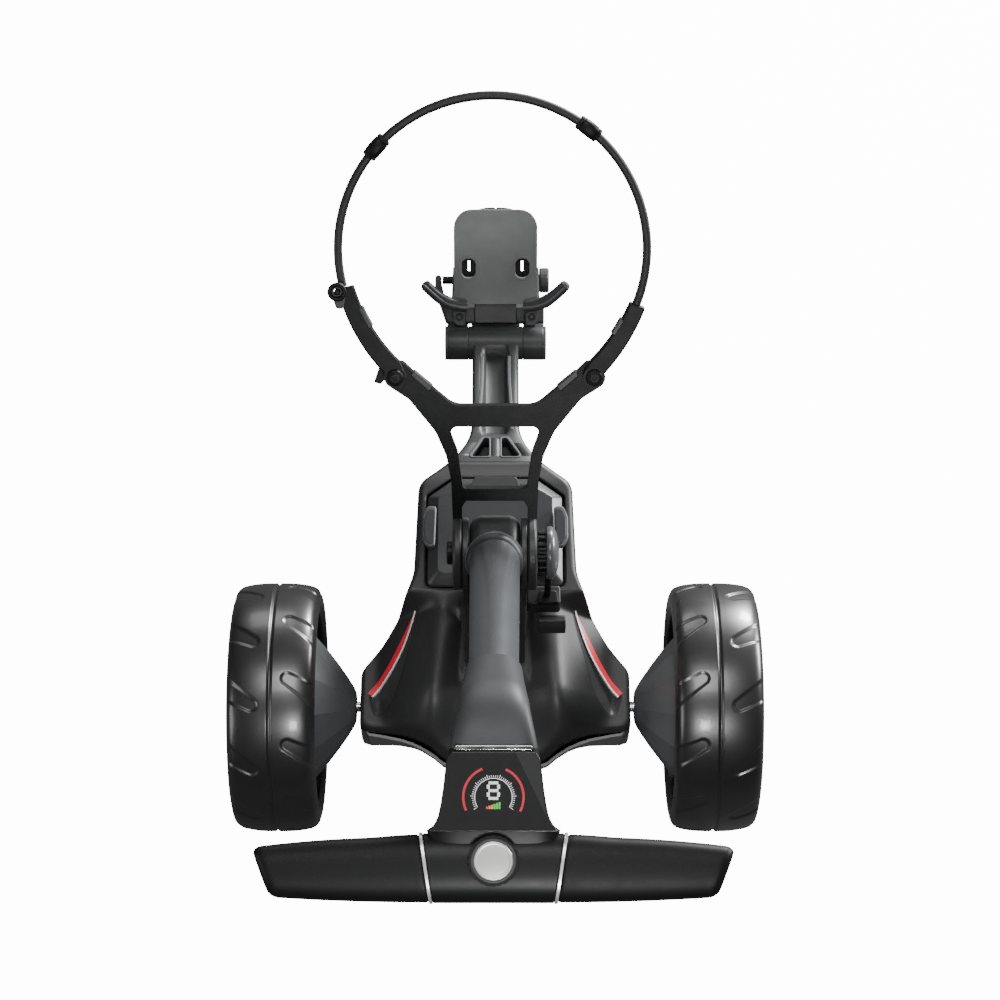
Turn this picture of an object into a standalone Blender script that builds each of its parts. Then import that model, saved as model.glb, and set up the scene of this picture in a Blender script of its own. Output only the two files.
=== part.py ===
"""An electric golf trolley, modelled as the pieces it comes apart into.

Lengths are millimetres here and metres in the meshes. X runs along the axles, +Y is the way the
trolley rolls and +Z is up. The ground is z = 0, and places are measured from the point of the
ground under the rear axle, which TROLLEY_SHIFT moves so that the origin is the middle of the floor plan.
"""
import math

import bmesh
import bpy
from mathutils import Matrix, Vector

MM = 0.001
GAP = 0.3                       # between pieces that touch
TROLLEY_SHIFT = -122.4          # y of the rear axle

# Wheels
WHEEL_RADIUS = 140.0
WHEEL_CENTRE = 244.3            # middle of a rear tyre, from the middle of the trolley
TYRE_HALF = 48.2
FRONT_RADIUS = 90.0
FRONT_HALF = 31.0
AXLE_RADIUS = 6.0

# Shaft, hinge and bag supports
BAG_ANGLE = 50.0                # slope of the bag's axis
SHAFT_ANGLE = 54.0              # slope of the shaft when it is up
HINGE = (0.0, 67.0, 430.0)
SOCKET_RADIUS = 39.0
SOCKET_HALF = 26.3
EAR_OUT = 33.6
RING_IN = 34.0
RING_OUT = 43.5
TUBE_START = 48.3
TUBE_END = 476.0
TUBE_LOW_RADIUS = 25.7
TUBE_HIGH_RADIUS = 21.5
BARREL = (0.0, 447.7, 170.0)
BARREL_RADIUS = 20.0
FRONT_AXLE = (0.0, 577.0, 90.0)
PLATE_FOOT = (0.0, 487.0, 188.0)

# Handle
NECK_STRAIGHT_END = 550.0
BEND_RADIUS = 41.0
HANDLE_DROOP = 16.0
CONSOLE_LENGTH = 66.0
CONSOLE_HALF_THICK = 19.0
RING_SLANT = 0.151              # lean of the handle's rings, out on the far side
GRIP_LENGTH = 132.8

# Body
BODY_BOTTOM = 78.0
SEAM = 172.0
BATTERY_HALF = 76.0
BATTERY_BACK = 104.0
BATTERY_FRONT = 236.0
BATTERY_TOP = 257.0
BODY_CENTRE = (0.0, 45.0)

# Drive
GEAR_MODULE = 2.8
AXLE_TEETH = 32
PINION_TEETH = 8
MOTOR_DROP = 12.0

COLOURS = {
    "rubber": ((0.012, 0.012, 0.013), 0.35, 0.0),
    "grip": ((0.02, 0.02, 0.021), 0.6, 0.0),
    "black": ((0.018, 0.019, 0.02), 0.4, 0.0),
    "grey": ((0.09, 0.095, 0.095), 0.45, 0.0),
    "dark": ((0.035, 0.036, 0.037), 0.45, 0.0),
    "tube": ((0.08, 0.085, 0.09), 0.35, 0.6),
    "steel": ((0.6, 0.6, 0.6), 0.3, 1.0),
    "silver": ((0.55, 0.55, 0.53), 0.35, 0.7),
    "red": ((0.7, 0.03, 0.06), 0.4, 0.0),
    "screen": ((0.04, 0.04, 0.042), 0.1, 0.0),
    "cord": ((0.015, 0.015, 0.016), 0.7, 0.0),
    "board": ((0.03, 0.16, 0.06), 0.5, 0.0),
}


# ---------------------------------------------------------------- helpers

def clear_scene():
    for obj in list(bpy.data.objects):
        bpy.data.objects.remove(obj, do_unlink=True)


def new_collection(name):
    made = bpy.data.collections.new(name)
    bpy.context.scene.collection.children.link(made)
    return made


def material(name):
    if name in bpy.data.materials:
        return bpy.data.materials[name]
    rgb, roughness, metallic = COLOURS[name]
    made = bpy.data.materials.new(name)
    made.use_nodes = True
    shader = made.node_tree.nodes["Principled BSDF"]
    shader.inputs["Base Color"].default_value = (*rgb, 1.0)
    shader.inputs["Roughness"].default_value = roughness
    shader.inputs["Metallic"].default_value = metallic
    made.diffuse_color = (*rgb, 1.0)
    return made


def frame(name, place, parent=None, tilt=0.0):
    """An empty that pieces are placed from, tilted about X by tilt degrees."""
    empty = bpy.data.objects.new(name, None)
    empty.location = Vector(place) * MM
    empty.rotation_euler = (math.radians(tilt), 0.0, 0.0)
    empty.parent = parent
    PARTS.objects.link(empty)
    return empty


def place(name, data, colour, parent, at=(0, 0, 0), turn=(0, 0, 0)):
    """Puts mesh or curve data in the scene, or among the cutters when it has no colour."""
    obj = bpy.data.objects.new(name, data)
    obj.parent = parent
    obj.location = Vector(at) * MM
    obj.rotation_euler = [math.radians(angle) for angle in turn]
    if colour:
        data.materials.append(material(colour))
        PARTS.objects.link(obj)
    else:
        CUTTERS.objects.link(obj)
        obj.hide_render = True
        obj.display_type = "WIRE"
    return obj


def finish_mesh(bm, name):
    bmesh.ops.scale(bm, vec=(MM, MM, MM), verts=bm.verts)
    bmesh.ops.recalc_face_normals(bm, faces=bm.faces)
    mesh = bpy.data.meshes.new(name)
    bm.to_mesh(mesh)
    bm.free()
    return mesh


def smooth(obj, angle=35.0):
    obj.data.shade_smooth()
    obj.data.set_sharp_from_angle(angle=math.radians(angle))
    return obj


def rounded(obj, width, segments=2):
    bevel = obj.modifiers.new("edges", "BEVEL")
    bevel.width = width * MM
    bevel.segments = segments
    bevel.limit_method = "ANGLE"
    return obj


def box(name, low, high, colour, parent, bevel=0.0):
    bm = bmesh.new()
    bmesh.ops.create_cube(bm, size=1.0)
    size = Vector(high) - Vector(low)
    bmesh.ops.scale(bm, vec=size, verts=bm.verts)
    bmesh.ops.translate(bm, vec=(Vector(low) + Vector(high)) / 2, verts=bm.verts)
    obj = place(name, finish_mesh(bm, name), colour, parent)
    if bevel:
        rounded(obj, bevel)
    return obj


def rod(name, radius, start, end, colour, parent, at=(0, 0, 0), axis="X", sides=24, far_radius=None):
    """A cylinder or cone along an axis, from start to end on it."""
    bm = bmesh.new()
    bmesh.ops.create_cone(bm, cap_ends=True, segments=sides, radius1=radius,
                          radius2=far_radius or radius, depth=end - start)
    bmesh.ops.translate(bm, vec=(0, 0, (start + end) / 2), verts=bm.verts)
    if axis == "X":
        bmesh.ops.rotate(bm, matrix=Matrix.Rotation(math.radians(90), 3, "Y"), verts=bm.verts)
    obj = place(name, finish_mesh(bm, name), colour, parent, at)
    return smooth(obj)


def turned(name, profile, colour, parent, at=(0, 0, 0), out=0, steps=32, closed=True):
    """Turns (radius, height) points about an axis: Z, or X when out is 1 or -X when it is -1."""
    mesh = bpy.data.meshes.new(name)
    points = [(radius * MM, 0.0, height * MM) for radius, height in profile]
    links = [(index, index + 1) for index in range(len(points) - 1)]
    if closed:
        links.append((len(points) - 1, 0))
    mesh.from_pydata(points, links, [])
    obj = place(name, mesh, colour, parent, at, (0, 90 * out, 0))
    screw = obj.modifiers.new("turn", "SCREW")
    screw.steps = steps
    screw.render_steps = steps
    screw.use_merge_vertices = True
    screw.merge_threshold = 0.00001
    screw.use_smooth_shade = True
    return obj


def loft(name, rings, colour, parent):
    """A closed body through rings of points, with flat ends."""
    bm = bmesh.new()
    rows = [[bm.verts.new(point) for point in ring] for ring in rings]
    count = len(rows[0])
    for low, high in zip(rows, rows[1:]):
        for index in range(count):
            after = (index + 1) % count
            bm.faces.new((low[index], low[after], high[after], high[index]))
    bm.faces.new(rows[0])
    bm.faces.new(rows[-1])
    return smooth(place(name, finish_mesh(bm, name), colour, parent))


def corner_arcs(corners, steps=4):
    """Turns (x, y, radius) corners into outline points, with each corner rounded."""
    points = []
    count = len(corners)
    for index, (x, y, radius) in enumerate(corners):
        here = Vector((x, y))
        if radius <= 0:
            points.append(here)
            continue
        back = (Vector(corners[index - 1][:2]) - here).normalized()
        ahead = (Vector(corners[(index + 1) % count][:2]) - here).normalized()
        half = back.angle(ahead) / 2
        reach = radius / math.tan(half)
        centre = here + (back + ahead).normalized() * (radius / math.sin(half))
        start = here + back * reach - centre
        sweep = (here + ahead * reach - centre).angle_signed(start)
        for step in range(steps + 1):
            turn = Matrix.Rotation(sweep * step / steps, 2)
            points.append(centre + turn @ start)
    return points


def mirrored(points):
    """A right half outline, from the top of the middle line to its foot, made whole."""
    return list(points) + [(-x, y, *rest) for x, y, *rest in reversed(points) if abs(x) > 0.01]


def plate(name, outlines, low, high, colour, parent, at=(0, 0, 0), turn=(0, 0, 0)):
    """A flat outline, with its holes, between two heights."""
    curve = bpy.data.curves.new(name, "CURVE")
    curve.dimensions = "2D"
    curve.fill_mode = "BOTH"
    curve.extrude = (high - low) / 2 * MM
    for outline in outlines:
        spline = curve.splines.new("POLY")
        spline.points.add(len(outline) - 1)
        for point, (x, y) in zip(spline.points, outline):
            point.co = (x * MM, y * MM, 0.0, 1.0)
        spline.use_cyclic_u = True
    matrix = Matrix.Translation((0, 0, (low + high) / 2 * MM))
    holder = bpy.data.objects.new(name + "_curve", curve)
    CUTTERS.objects.link(holder)
    graph = bpy.context.evaluated_depsgraph_get()
    mesh = bpy.data.meshes.new_from_object(holder.evaluated_get(graph))
    bpy.data.objects.remove(holder)
    bm = bmesh.new()
    bm.from_mesh(mesh)
    bmesh.ops.remove_doubles(bm, verts=bm.verts, dist=0.00001)
    bmesh.ops.transform(bm, matrix=matrix, verts=bm.verts)
    bmesh.ops.recalc_face_normals(bm, faces=bm.faces)
    bmesh.ops.dissolve_limit(bm, angle_limit=0.01, verts=bm.verts, edges=bm.edges)
    bm.to_mesh(mesh)
    bm.free()
    mesh.materials.clear()
    return place(name, mesh, colour, parent, at, turn)


def circle(radius, count=24, x=0.0, y=0.0):
    return [(x + radius * math.cos(turn), y + radius * math.sin(turn))
            for turn in (2 * math.pi * index / count for index in range(count))]


def cut(target, *cutters):
    for cutter in cutters:
        step = target.modifiers.new("cut", "BOOLEAN")
        step.operation = "DIFFERENCE"
        step.object = cutter
    return target


def unite(target, *others):
    for other in others:
        step = target.modifiers.new("join", "BOOLEAN")
        step.operation = "UNION"
        step.object = other
    return target


def oval(centre, wide, thick, across, up, power=2.0, count=24):
    """A superellipse ring: power 2 is an ellipse, and more is squarer."""
    ring = []
    for index in range(count):
        turn = 2 * math.pi * (index + 0.5) / count
        cosine, sine = math.cos(turn), math.sin(turn)
        u = math.copysign(abs(cosine) ** (2 / power), cosine) * wide
        v = math.copysign(abs(sine) ** (2 / power), sine) * thick
        ring.append(Vector(centre) + across * u + up * v)
    return ring


def side_name(side):
    return "left" if side < 0 else "right"


def ramp(value, low, high):
    """0 below low, 1 above high, and smooth between."""
    part = min(1.0, max(0.0, (value - low) / (high - low)))
    return part * part * (3 - 2 * part)


# ---------------------------------------------------------------- wheels and drive

def rear_wheel(side, trolley):
    name = side_name(side)
    line = frame(f"rear_wheel_line_{name}", (side * WHEEL_CENTRE, 0, WHEEL_RADIUS), trolley)
    half = [(140, 4.5), (139.6, 22), (137, 38), (131, 46), (122, TYRE_HALF), (114, 46.5), (112, 42)]
    groove = [(137.3, 2.6)]
    upper = [(r, t) for r, t in reversed(groove + half)]
    lower = [(r, -t) for r, t in groove + half]
    # the outer side runs from the outward shoulder to the inward one
    tyre = upper[2:] + lower[:-2] + [(114, -46.5), (112, -42), (112, 42), (114, 46.5)]
    turned(f"rear_tyre_{name}", tyre, "rubber", line, out=side, steps=32)
    rim = [(111.3, 43), (111.3, -45.5), (106, -45.5), (104.5, 12), (62, 19), (22, 20),
           (6.5, 20), (6.5, 27), (22, 36), (26, 34), (62, 30), (104, 25), (107, 43)]
    turned(f"rear_rim_{name}", rim, "dark", line, out=side, steps=20)
    cone = [(102, 8), (103, -20), (79, -42.3), (46, -68.8), (24.5, -84.3), (14.7, -87.7),
            (6.5, -87.7), (6.5, 8)]
    turned(f"wheel_cone_{name}", cone, "grey", line, out=side, steps=12)


def drive(trolley):
    axle_line = frame("rear_axle_line", (0, 0, WHEEL_RADIUS), trolley)
    rod("drive_axle", AXLE_RADIUS, -250, 250, "steel", axle_line)
    for side in (-1, 1):
        ring = [(14, 151), (14, 139.5), (6.4, 139.5), (6.4, 151)]
        turned(f"axle_bearing_{side_name(side)}", ring, "steel", axle_line, out=side, steps=24)
    distance = GEAR_MODULE * (AXLE_TEETH + PINION_TEETH) / 2
    forward = math.sqrt(distance ** 2 - MOTOR_DROP ** 2)
    slope = math.atan2(-MOTOR_DROP, forward)
    pinion_line = frame("pinion_line", (0, forward, WHEEL_RADIUS - MOTOR_DROP), trolley)
    # a plate's outline (x, y) becomes (z, y) on the trolley once it is turned about Y
    turn = (0, -90, 0)
    gear = gear_outline(AXLE_TEETH, slope + math.pi / AXLE_TEETH)
    plate("axle_gear", [gear, circle(6.5)], -14, -2, "steel", axle_line, turn=turn)
    pinion = plate("motor_pinion", [gear_outline(PINION_TEETH, slope + math.pi)], -14, -2, "steel",
                   pinion_line, turn=turn)
    unite(pinion, rod("pinion_shaft", 4, -11.5, 8, None, pinion_line))
    motor = rod("motor", 30, -98, -12, "dark", trolley, (0, forward, WHEEL_RADIUS - MOTOR_DROP), sides=28)
    rounded(motor, 3)
    gearbox(trolley, forward)
    box("control_unit", (48, -20, 96), (120, 24, 124), "board", trolley, 2)


def gear_outline(teeth, first):
    """Tooth tips and roots as flat-sided teeth, in the (z, y) plane, with one tooth at angle first."""
    pitch_radius = GEAR_MODULE * teeth / 2
    pitch = 2 * math.pi / teeth
    flanks = ((-0.30, -1.05), (-0.13, 0.75), (0.13, 0.75), (0.30, -1.05))
    points = []
    for tooth in range(teeth):
        for along, height in flanks:
            turn = first + (tooth + along * 0.8) * pitch
            radius = pitch_radius + height * GEAR_MODULE
            points.append((radius * math.sin(turn), radius * math.cos(turn)))
    return points


def gearbox(trolley, forward):
    """A cup round the gear pair, open at +X, and the plate that closes it."""
    centre = (0, 0, WHEEL_RADIUS)

    def outline(big, small):
        points = []
        for step in range(25):
            turn = math.radians(40 + 255 * step / 24)
            points.append((big * math.sin(turn), big * math.cos(turn)))
        for step in range(9):
            turn = math.radians(-65 + 105 * step / 8)
            points.append((small * math.sin(turn) - MOTOR_DROP, small * math.cos(turn) + forward))
        return points

    turn = (0, -90, 0)
    case = plate("gearbox_case", [outline(54, 20)], -20, 8, "grey", trolley, centre, turn)
    pocket = plate("gearbox_pocket", [outline(50.5, 16.5)], -30, 4, None, trolley, centre, turn)
    bore = rod("gearbox_bore", 7, -30, 30, None, trolley, centre)
    shaft_bore = rod("gearbox_shaft_bore", 5, -30, 0, None, trolley, (0, forward, WHEEL_RADIUS - MOTOR_DROP))
    cut(case, pocket, bore, shaft_bore)
    cover = plate("gearbox_cover", [outline(54, 20)], -24, -20 - GAP, "grey", trolley, centre, turn)
    cut(cover, bore)


# ---------------------------------------------------------------- body

def body_outline():
    """The floor plan of the body, going round from the right of the front edge."""
    corners = [(52, 262, 8), (87, 232, 26), (91, 122, 60), (99, 98, 60), (123, 60, 60), (150.5, 26, 14),
               (151, -43, 12), (128, -47, 40), (99, -53, 60), (76, -64, 60), (50, -86, 30)]
    right = [tuple(point) for point in corner_arcs([(0, 262, 0)] + corners + [(0, -86, 0)], 1)[1:-1]]
    return [(x, y) for x, y in right] + [(-x, y) for x, y in reversed(right)]


def cover_height(x, y):
    """Height of the cover's top above the ground."""
    across = abs(x)
    bay = ramp(y, 78, 104)
    deck = 247 - 6 * ramp(y, 225, 262)
    wing = 229 - 46 * ramp(across, 62, 150)
    wing -= 12 * ramp(across, 118, 146) * (1 - bay)
    wing += 15 * math.exp(-((across - 60) / 17) ** 2) * (1 - ramp(-y, 20, 90))
    wing -= 13 * math.exp(-((across - 106) / 16) ** 2) * ramp(y, -45, -5) * (1 - ramp(y, 55, 90))
    wing -= 42 * ramp(-y, 8, 92)
    foot = (1 - ramp(across, 34, 46)) * ramp(y, -12, 14)
    wing += (236 - wing) * foot * (1 - bay)
    return wing + (deck - wing) * bay


def body(trolley):
    outline = body_outline()
    cx, cy = BODY_CENTRE

    def ring(scale, height, back=0.0):
        return [Vector((cx + (x - cx) * scale, cy + (y - cy) * scale + back * ramp(-y, 30, 60), height))
                for x, y in outline]

    tub_rings = [ring(0.84, BODY_BOTTOM, 30), ring(0.94, BODY_BOTTOM + 6, 28), ring(0.99, 104, 20),
                 ring(1.0, 122, 13), ring(1.0, SEAM - 1)]
    base = open_shell("body_base", tub_rings, "grey", trolley, 3.0)
    cut(base, rod("axle_bores", 14.3, -160, 160, None, trolley, (0, 0, WHEEL_RADIUS)))

    cover_scales = (0.2, 0.4, 0.56, 0.7, 0.82, 0.9, 0.96)
    rings = [ring(scale, 0.0, 7) for scale in cover_scales]
    for points in rings:
        for point in points:
            point.z = cover_height(point.x, point.y)
    edge = ring(0.998, 0.0, 7)
    for point in edge:
        point.z = max(cover_height(point.x, point.y) - 7, SEAM + 12)
    rings += [edge, ring(1.0, SEAM + GAP, 7)]
    cover = open_shell("body_cover", rings, "black", trolley, 3.0, middle=cover_height(cx, cy))
    cut(cover, bay_prism("bay_cutter", 2.0, 120, 300, None, trolley))

    stripes(trolley, cover)
    tray = plate("battery_tray", [bay_outline(4.2)], 140, 226, "dark", trolley)
    cut(tray, bay_prism("tray_hollow", 1.2, 143, 300, None, trolley))


def open_shell(name, rings, colour, parent, thick, middle=None):
    """A shell of the given thickness inside the surface through the rings, open past the last ring."""
    bm = bmesh.new()
    rows = [[bm.verts.new(point) for point in ring] for ring in rings]
    count = len(rows[0])
    for low, high in zip(rows, rows[1:]):
        for index in range(count):
            after = (index + 1) % count
            bm.faces.new((low[index], low[after], high[after], high[index]))
    if middle is None:
        bm.faces.new(rows[0])
    else:
        peak = bm.verts.new((BODY_CENTRE[0], BODY_CENTRE[1], middle))
        for index in range(count):
            bm.faces.new((peak, rows[0][index], rows[0][(index + 1) % count]))
    obj = smooth(place(name, finish_mesh(bm, name), colour, parent))
    shell = obj.modifiers.new("wall", "SOLIDIFY")
    shell.thickness = thick * MM
    shell.offset = -1.0
    shell.use_even_offset = False
    return obj


def bay_outline(grow):
    """The battery's floor plan, grown all round."""
    right = [(46 + grow * 0.6, BATTERY_FRONT + grow, 3), (BATTERY_HALF + grow, 213 + grow * 0.4, 6),
             (BATTERY_HALF + grow, BATTERY_BACK - grow, 8)]
    corners = right + [(-x, y, r) for x, y, r in reversed(right)]
    return [tuple(point) for point in corner_arcs(corners, 2)]


def bay_prism(name, grow, low, high, colour, parent):
    return plate(name, [bay_outline(grow)], low, high, colour, parent)


def battery(trolley):
    lift = frame("battery_frame", (0, 0, 0), trolley)

    def ring(grow, height):
        return [Vector((x, y, height)) for x, y in bay_outline(grow)]

    levels = ((-2, 144), (0, 150), (0, BATTERY_TOP - 14), (-2, BATTERY_TOP - 10), (-14, BATTERY_TOP))
    loft("battery_pack", [ring(*level) for level in levels], "grey", lift)
    for side in (-1, 1):
        hinge = frame(f"latch_line_{side_name(side)}", (side * 62, 168, BATTERY_TOP + 0.5), lift)
        # inner edge straight, outer edge pointed at the rear
        corners = [(0.1, 26, 3), (16, 26, 5), (21.5, 12, 8), (21.5, -14, 8), (11, -26, 5), (2, -22, 3)]
        shape = corner_arcs([(side * x, y, r) for x, y, r in corners], 2)
        latch = plate(f"battery_latch_{side_name(side)}", [shape], 0, 6.5, "dark", hinge)
        rounded(latch, 1.5, 1)


def stripe_rings(side, grow, low, high):
    """Sections along a wing's shoulder, pointed at the front, between two heights from the cover's top."""
    rows = []
    for step in range(13):
        part = step / 12
        x = 87 + 52.5 * part ** 1.05
        y = 83 - 86 * part
        half = 0.6 + 2.9 * min(1, part / 0.45) ** 0.75 + grow
        away = Vector((0.88, 0.48))
        ring = []
        for step_out, lift in ((-half, low), (half, low), (half, high), (-half, high)):
            px, py = x + away.x * step_out, y + away.y * step_out
            ring.append(Vector((side * px, py, cover_height(px, py) + lift)))
        rows.append(ring)
    return rows


def stripes(trolley, cover):
    """The bright inlay through the cover along the shoulder of each wing."""
    for side in (-1, 1):
        name = side_name(side)
        loft(f"stripe_{name}", stripe_rings(side, 0.0, -4.0, 1.0), "red", trolley)
        slot = stripe_rings(side, GAP + 0.2, -14.0, 14.0)
        slot[0] = [point + Vector((-side * 0.5, 1, 0)) for point in slot[0]]
        slot[-1] = [point + Vector((side * 0.5, -1, 0)) for point in slot[-1]]
        cut(cover, loft(f"stripe_slot_{name}", slot, None, trolley))


# ---------------------------------------------------------------- front arm, fork and front wheel

def front_arm(trolley):
    stations = ((263, 50, 168, 234), (271, 46, 166, 231), (281, 40, 163, 228), (293, 33.5, 160, 224),
                (308, 28.8, 158, 220), (326, 27.5, 156, 215), (380, 27.5, 151, 200), (440, 27.5, 153, 186))
    rings = []
    for y, half, low, high in stations:
        centre = (0, y, (low + high) / 2)
        rings.append(oval(centre, half, (high - low) / 2, Vector((1, 0, 0)), Vector((0, 0, 1)), 6, 20))
    arm = loft("front_arm", rings, "dark", trolley)
    unite(arm, rod("arm_knuckle", BARREL_RADIUS, -32, 32, None, trolley, BARREL))
    cut(arm, rod("arm_pin_bore", 6.6, -70, 70, None, trolley, BARREL))
    for side in (-1, 1):
        corners = [(7.3, 270, 2), (28, 270, 2), (13, 297, 2), (7.3, 297, 2)]
        shape = corner_arcs([(side * x, y, r) for x, y, r in corners], 2)
        cut(arm, plate(f"arm_window_{side_name(side)}", [shape], 200, 260, None, trolley))
    trough = []
    for y, floor in ((312, 214), (420, 184)):
        trough.append([Vector((x, y, z)) for x, z in ((-12, floor), (12, floor), (15, floor + 40), (-15, floor + 40))])
    cut(arm, loft("arm_trough", trough, None, trolley))
    rod("fold_pin", 6.2, -58, 58, "steel", trolley, BARREL)


def front_fold(trolley):
    """Everything that folds under about the barrel: fork, front wheel, plate and lower arms."""
    fold = frame("front_fold_line", BARREL, trolley)
    offset = [PLATE_FOOT[axis] - BARREL[axis] for axis in range(3)]
    lean = frame("bag_plate_frame", offset, fold, 90 - BAG_ANGLE)
    fork(fold, lean)
    bag_plate(lean)
    front_wheel(fold)


def fork(fold, lean):
    crown = box("front_fork", (-58, -23, -32), (58, -3, -9), "dark", lean)
    for side in (-1, 1):
        name = side_name(side)
        low, high = sorted((side * 32.6, side * 60))
        unite(crown, rod(f"fork_knuckle_{name}", BARREL_RADIUS, low, high, None, fold))
        low, high = sorted((side * 33.1, side * 57.5))
        unite(crown, box(f"fork_link_{name}", (low, -50, -20), (high, -21.5, 8), None, lean))
        unite(crown, box(f"fork_shoulder_{name}", (low, -40, -26), (high, -10, -9.5), None, lean))
        axle_y, axle_z = FRONT_AXLE[1] - BARREL[1], FRONT_AXLE[2] - BARREL[2]
        corners = [(30, -4, 2), (46, 7, 2), (axle_y + 14, axle_z + 10, 9), (axle_y + 14, axle_z - 12, 12),
                   (axle_y - 10, axle_z - 12, 9), (34, -22, 2)]
        shape = [(z, y) for y, z in corner_arcs(corners, 4)]
        low, high = sorted((-side * 44, -side * 53))
        unite(crown, plate(f"fork_leg_{name}", [shape], low, high, None, fold, turn=(0, -90, 0)))
    cut(crown, rod("fork_pin_bore", 6.6, -59, 59, None, fold))
    axle_at = [FRONT_AXLE[axis] - BARREL[axis] for axis in range(3)]
    cut(crown, rod("fork_axle_bore", 5.4, -70, 70, None, fold, axle_at))


def front_wheel(fold):
    axle_at = [FRONT_AXLE[axis] - BARREL[axis] for axis in range(3)]
    line = frame("front_wheel_line", axle_at, fold)
    tyre = [(68, 25), (76, 29.5), (82, FRONT_HALF - 1), (87.5, 20), (90, 7), (90, -7), (87.5, -20),
            (82, 1 - FRONT_HALF), (76, -29.5), (68, -25), (66, -20), (66, 20)]
    turned("front_tyre", tyre, "rubber", line, out=1, steps=28)
    rim = [(65.6, 24), (65.6, -24), (60, -24), (56, -7), (24, -9), (18, -30), (5.5, -30), (5.5, 30),
           (18, 30), (24, 9), (56, 7), (60, 24)]
    turned("front_rim", rim, "dark", line, out=1, steps=20)
    rod("front_axle", 5, -66, 58, "steel", fold, axle_at, sides=20)
    nut_ring = [(14, 66), (15.5, 64), (15.5, 55.5), (14, 53.6), (5.5, 53.6), (5.5, 66)]
    turned("tracking_nut", nut_ring, "dark", line, out=1, steps=20)
    lever_line = frame("axle_lever_line", (-71, 0, 0), line)
    corners = [(-4, 3.6, 3.5), (4, 3.6, 3.5), (4, -8, 2), (15, -57, 2), (10, -58, 2), (-4, -14, 8)]
    shape = corner_arcs(corners, 2)
    lever = plate("axle_lever", [shape], -8, 8, "dark", lever_line)
    rounded(lever, 1, 1)


def bag_plate(lean):
    """The bag's foot plate and the two arms beside it. In this frame Y runs up the plate."""
    corners = [(0, 117, 0), (40, 117, 20), (49.5, 101, 22), (49.5, 4.3, 4), (0, 4.3, 0)]
    outline = [tuple(point) for point in corner_arcs(mirrored(corners), 5)]
    slots = []
    for side in (-1, 1):
        slot = [(side * x, y, 7) for x, y in ((23.5, 36), (40, 36), (40, 59), (23.5, 59))]
        slots.append([tuple(point) for point in corner_arcs(slot, 3)])
    foot = plate("bag_base_plate", [outline] + slots, 0, 5, "grey", lean)
    rounded(foot, 1, 1)
    box("plate_bracket", (-25, -20, -8.7), (25, 12, -GAP), "dark", lean, 1)
    for side in (-1, 1):
        name = side_name(side)
        low, high = sorted((side * 35.3, side * 50.7))
        ear = box(f"lower_arm_{name}", (low, -21, -8.7), (high, 3.7, 13), "dark", lean)
        spine = [(31, 4, 13), (44, 4, 13.5), (58, 9, 15.5), (71, 19, 19.5), (84, 33, 27)]
        rings = []
        for index, (x, y, z) in enumerate(spine):
            before = Vector(spine[max(0, index - 1)])
            after = Vector(spine[min(len(spine) - 1, index + 1)])
            along = (after - before).normalized()
            up = Vector((0, 0, 1))
            away = along.cross(up).normalized()
            rings.append([Vector((side * p.x, p.y, p.z))
                          for p in oval((x, y, z), 6.4, 6.4, away, away.cross(along), 3, 12)])
        unite(ear, loft(f"lower_arm_bar_{name}", rings, None, lean))


# ---------------------------------------------------------------- hinge, cradle and bag strap

def pedestal(trolley):
    """Rises from the cover to the main hinge, with an ear on each side of the shaft's socket."""
    _, hy, hz = HINGE
    turn = (0, -90, 0)
    corners = [(14, 238.6, 4), (72, 238.6, 4), (97, 251, 3), (99, 389, 10), (26, 389, 16)]
    shape = [(z, y) for y, z in corner_arcs(corners, 3)]
    foot = plate("hinge_pedestal", [shape], -EAR_OUT, EAR_OUT, "dark", trolley, turn=turn)
    cut(foot, rod("socket_room", SOCKET_RADIUS + 1.5, -26.9, 26.9, None, trolley, HINGE, sides=32))
    for side in (-1, 1):
        low, high = sorted((-side * 26.9, -side * EAR_OUT))
        ear = [(z, y) for y, z in [(hy + 37 * math.cos(turn), hz + 37 * math.sin(turn))
                                   for turn in (math.radians(-20 + 220 * step / 16) for step in range(17))]]
        ear += [(350, 24), (350, 97)]
        unite(foot, plate(f"pedestal_ear_{side_name(side)}", [ear], low, high, None, trolley, turn=turn))
    cut(foot, rod("pedestal_bolt_bore", 6.6, -70, 70, None, trolley, HINGE))


def cradle(trolley):
    """The upper bag support. In this frame Y runs forward and up in the cradle's plane."""
    lean = frame("cradle_line", HINGE, trolley, 90 - BAG_ANGLE)
    outer = [(0, 158, 0), (42, 158, 24), (64, 177, 14), (84, 194, 6), (94, 204, 5), (112, 197, 8), (112, 181, 8),
             (88, 165, 20), (61, 131, 40), (50, 105, 40), (45, 78, 30), (43.5, 36, 4), (43.5, 26, 0),
             (34, 26, 0), (34, 50, 6), (30, 57, 3), (0, 57, 0)]
    outline = [tuple(point) for point in corner_arcs(mirrored(outer), 2)]
    inner = [(0, 136, 0), (48, 136, 7), (38, 108, 20), (33, 70, 4), (0, 70, 0)]
    window = [tuple(point) for point in corner_arcs(mirrored(inner), 2)]
    frame_piece = plate("cradle_frame", [outline, window], -9, 3, "dark", lean)
    for side in (-1, 1):
        low, high = sorted((side * RING_IN, side * RING_OUT))
        unite(frame_piece, rod(f"cradle_ring_{side_name(side)}", 38.5, low, high, None, lean, sides=24))
    cut(frame_piece, rod("cradle_bolt_bore", 6.6, -70, 70, None, lean))
    for side in (-1, 1):
        cut(frame_piece, rod(f"arm_bore_{side_name(side)}", 4.4, -30, 30, None, lean, (side * 101, 190.6, 0), "Z"))
    upper_arms(lean)
    strap(lean)


LOOP_CENTRE = (-2.2, 319.8)
LOOP_RADIUS = 154.8
LOOP_HEIGHT = 9.2
STRAP_RADIUS = 4.6
ARM_TIPS = {1: -21.0, -1: -14.0}


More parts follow.
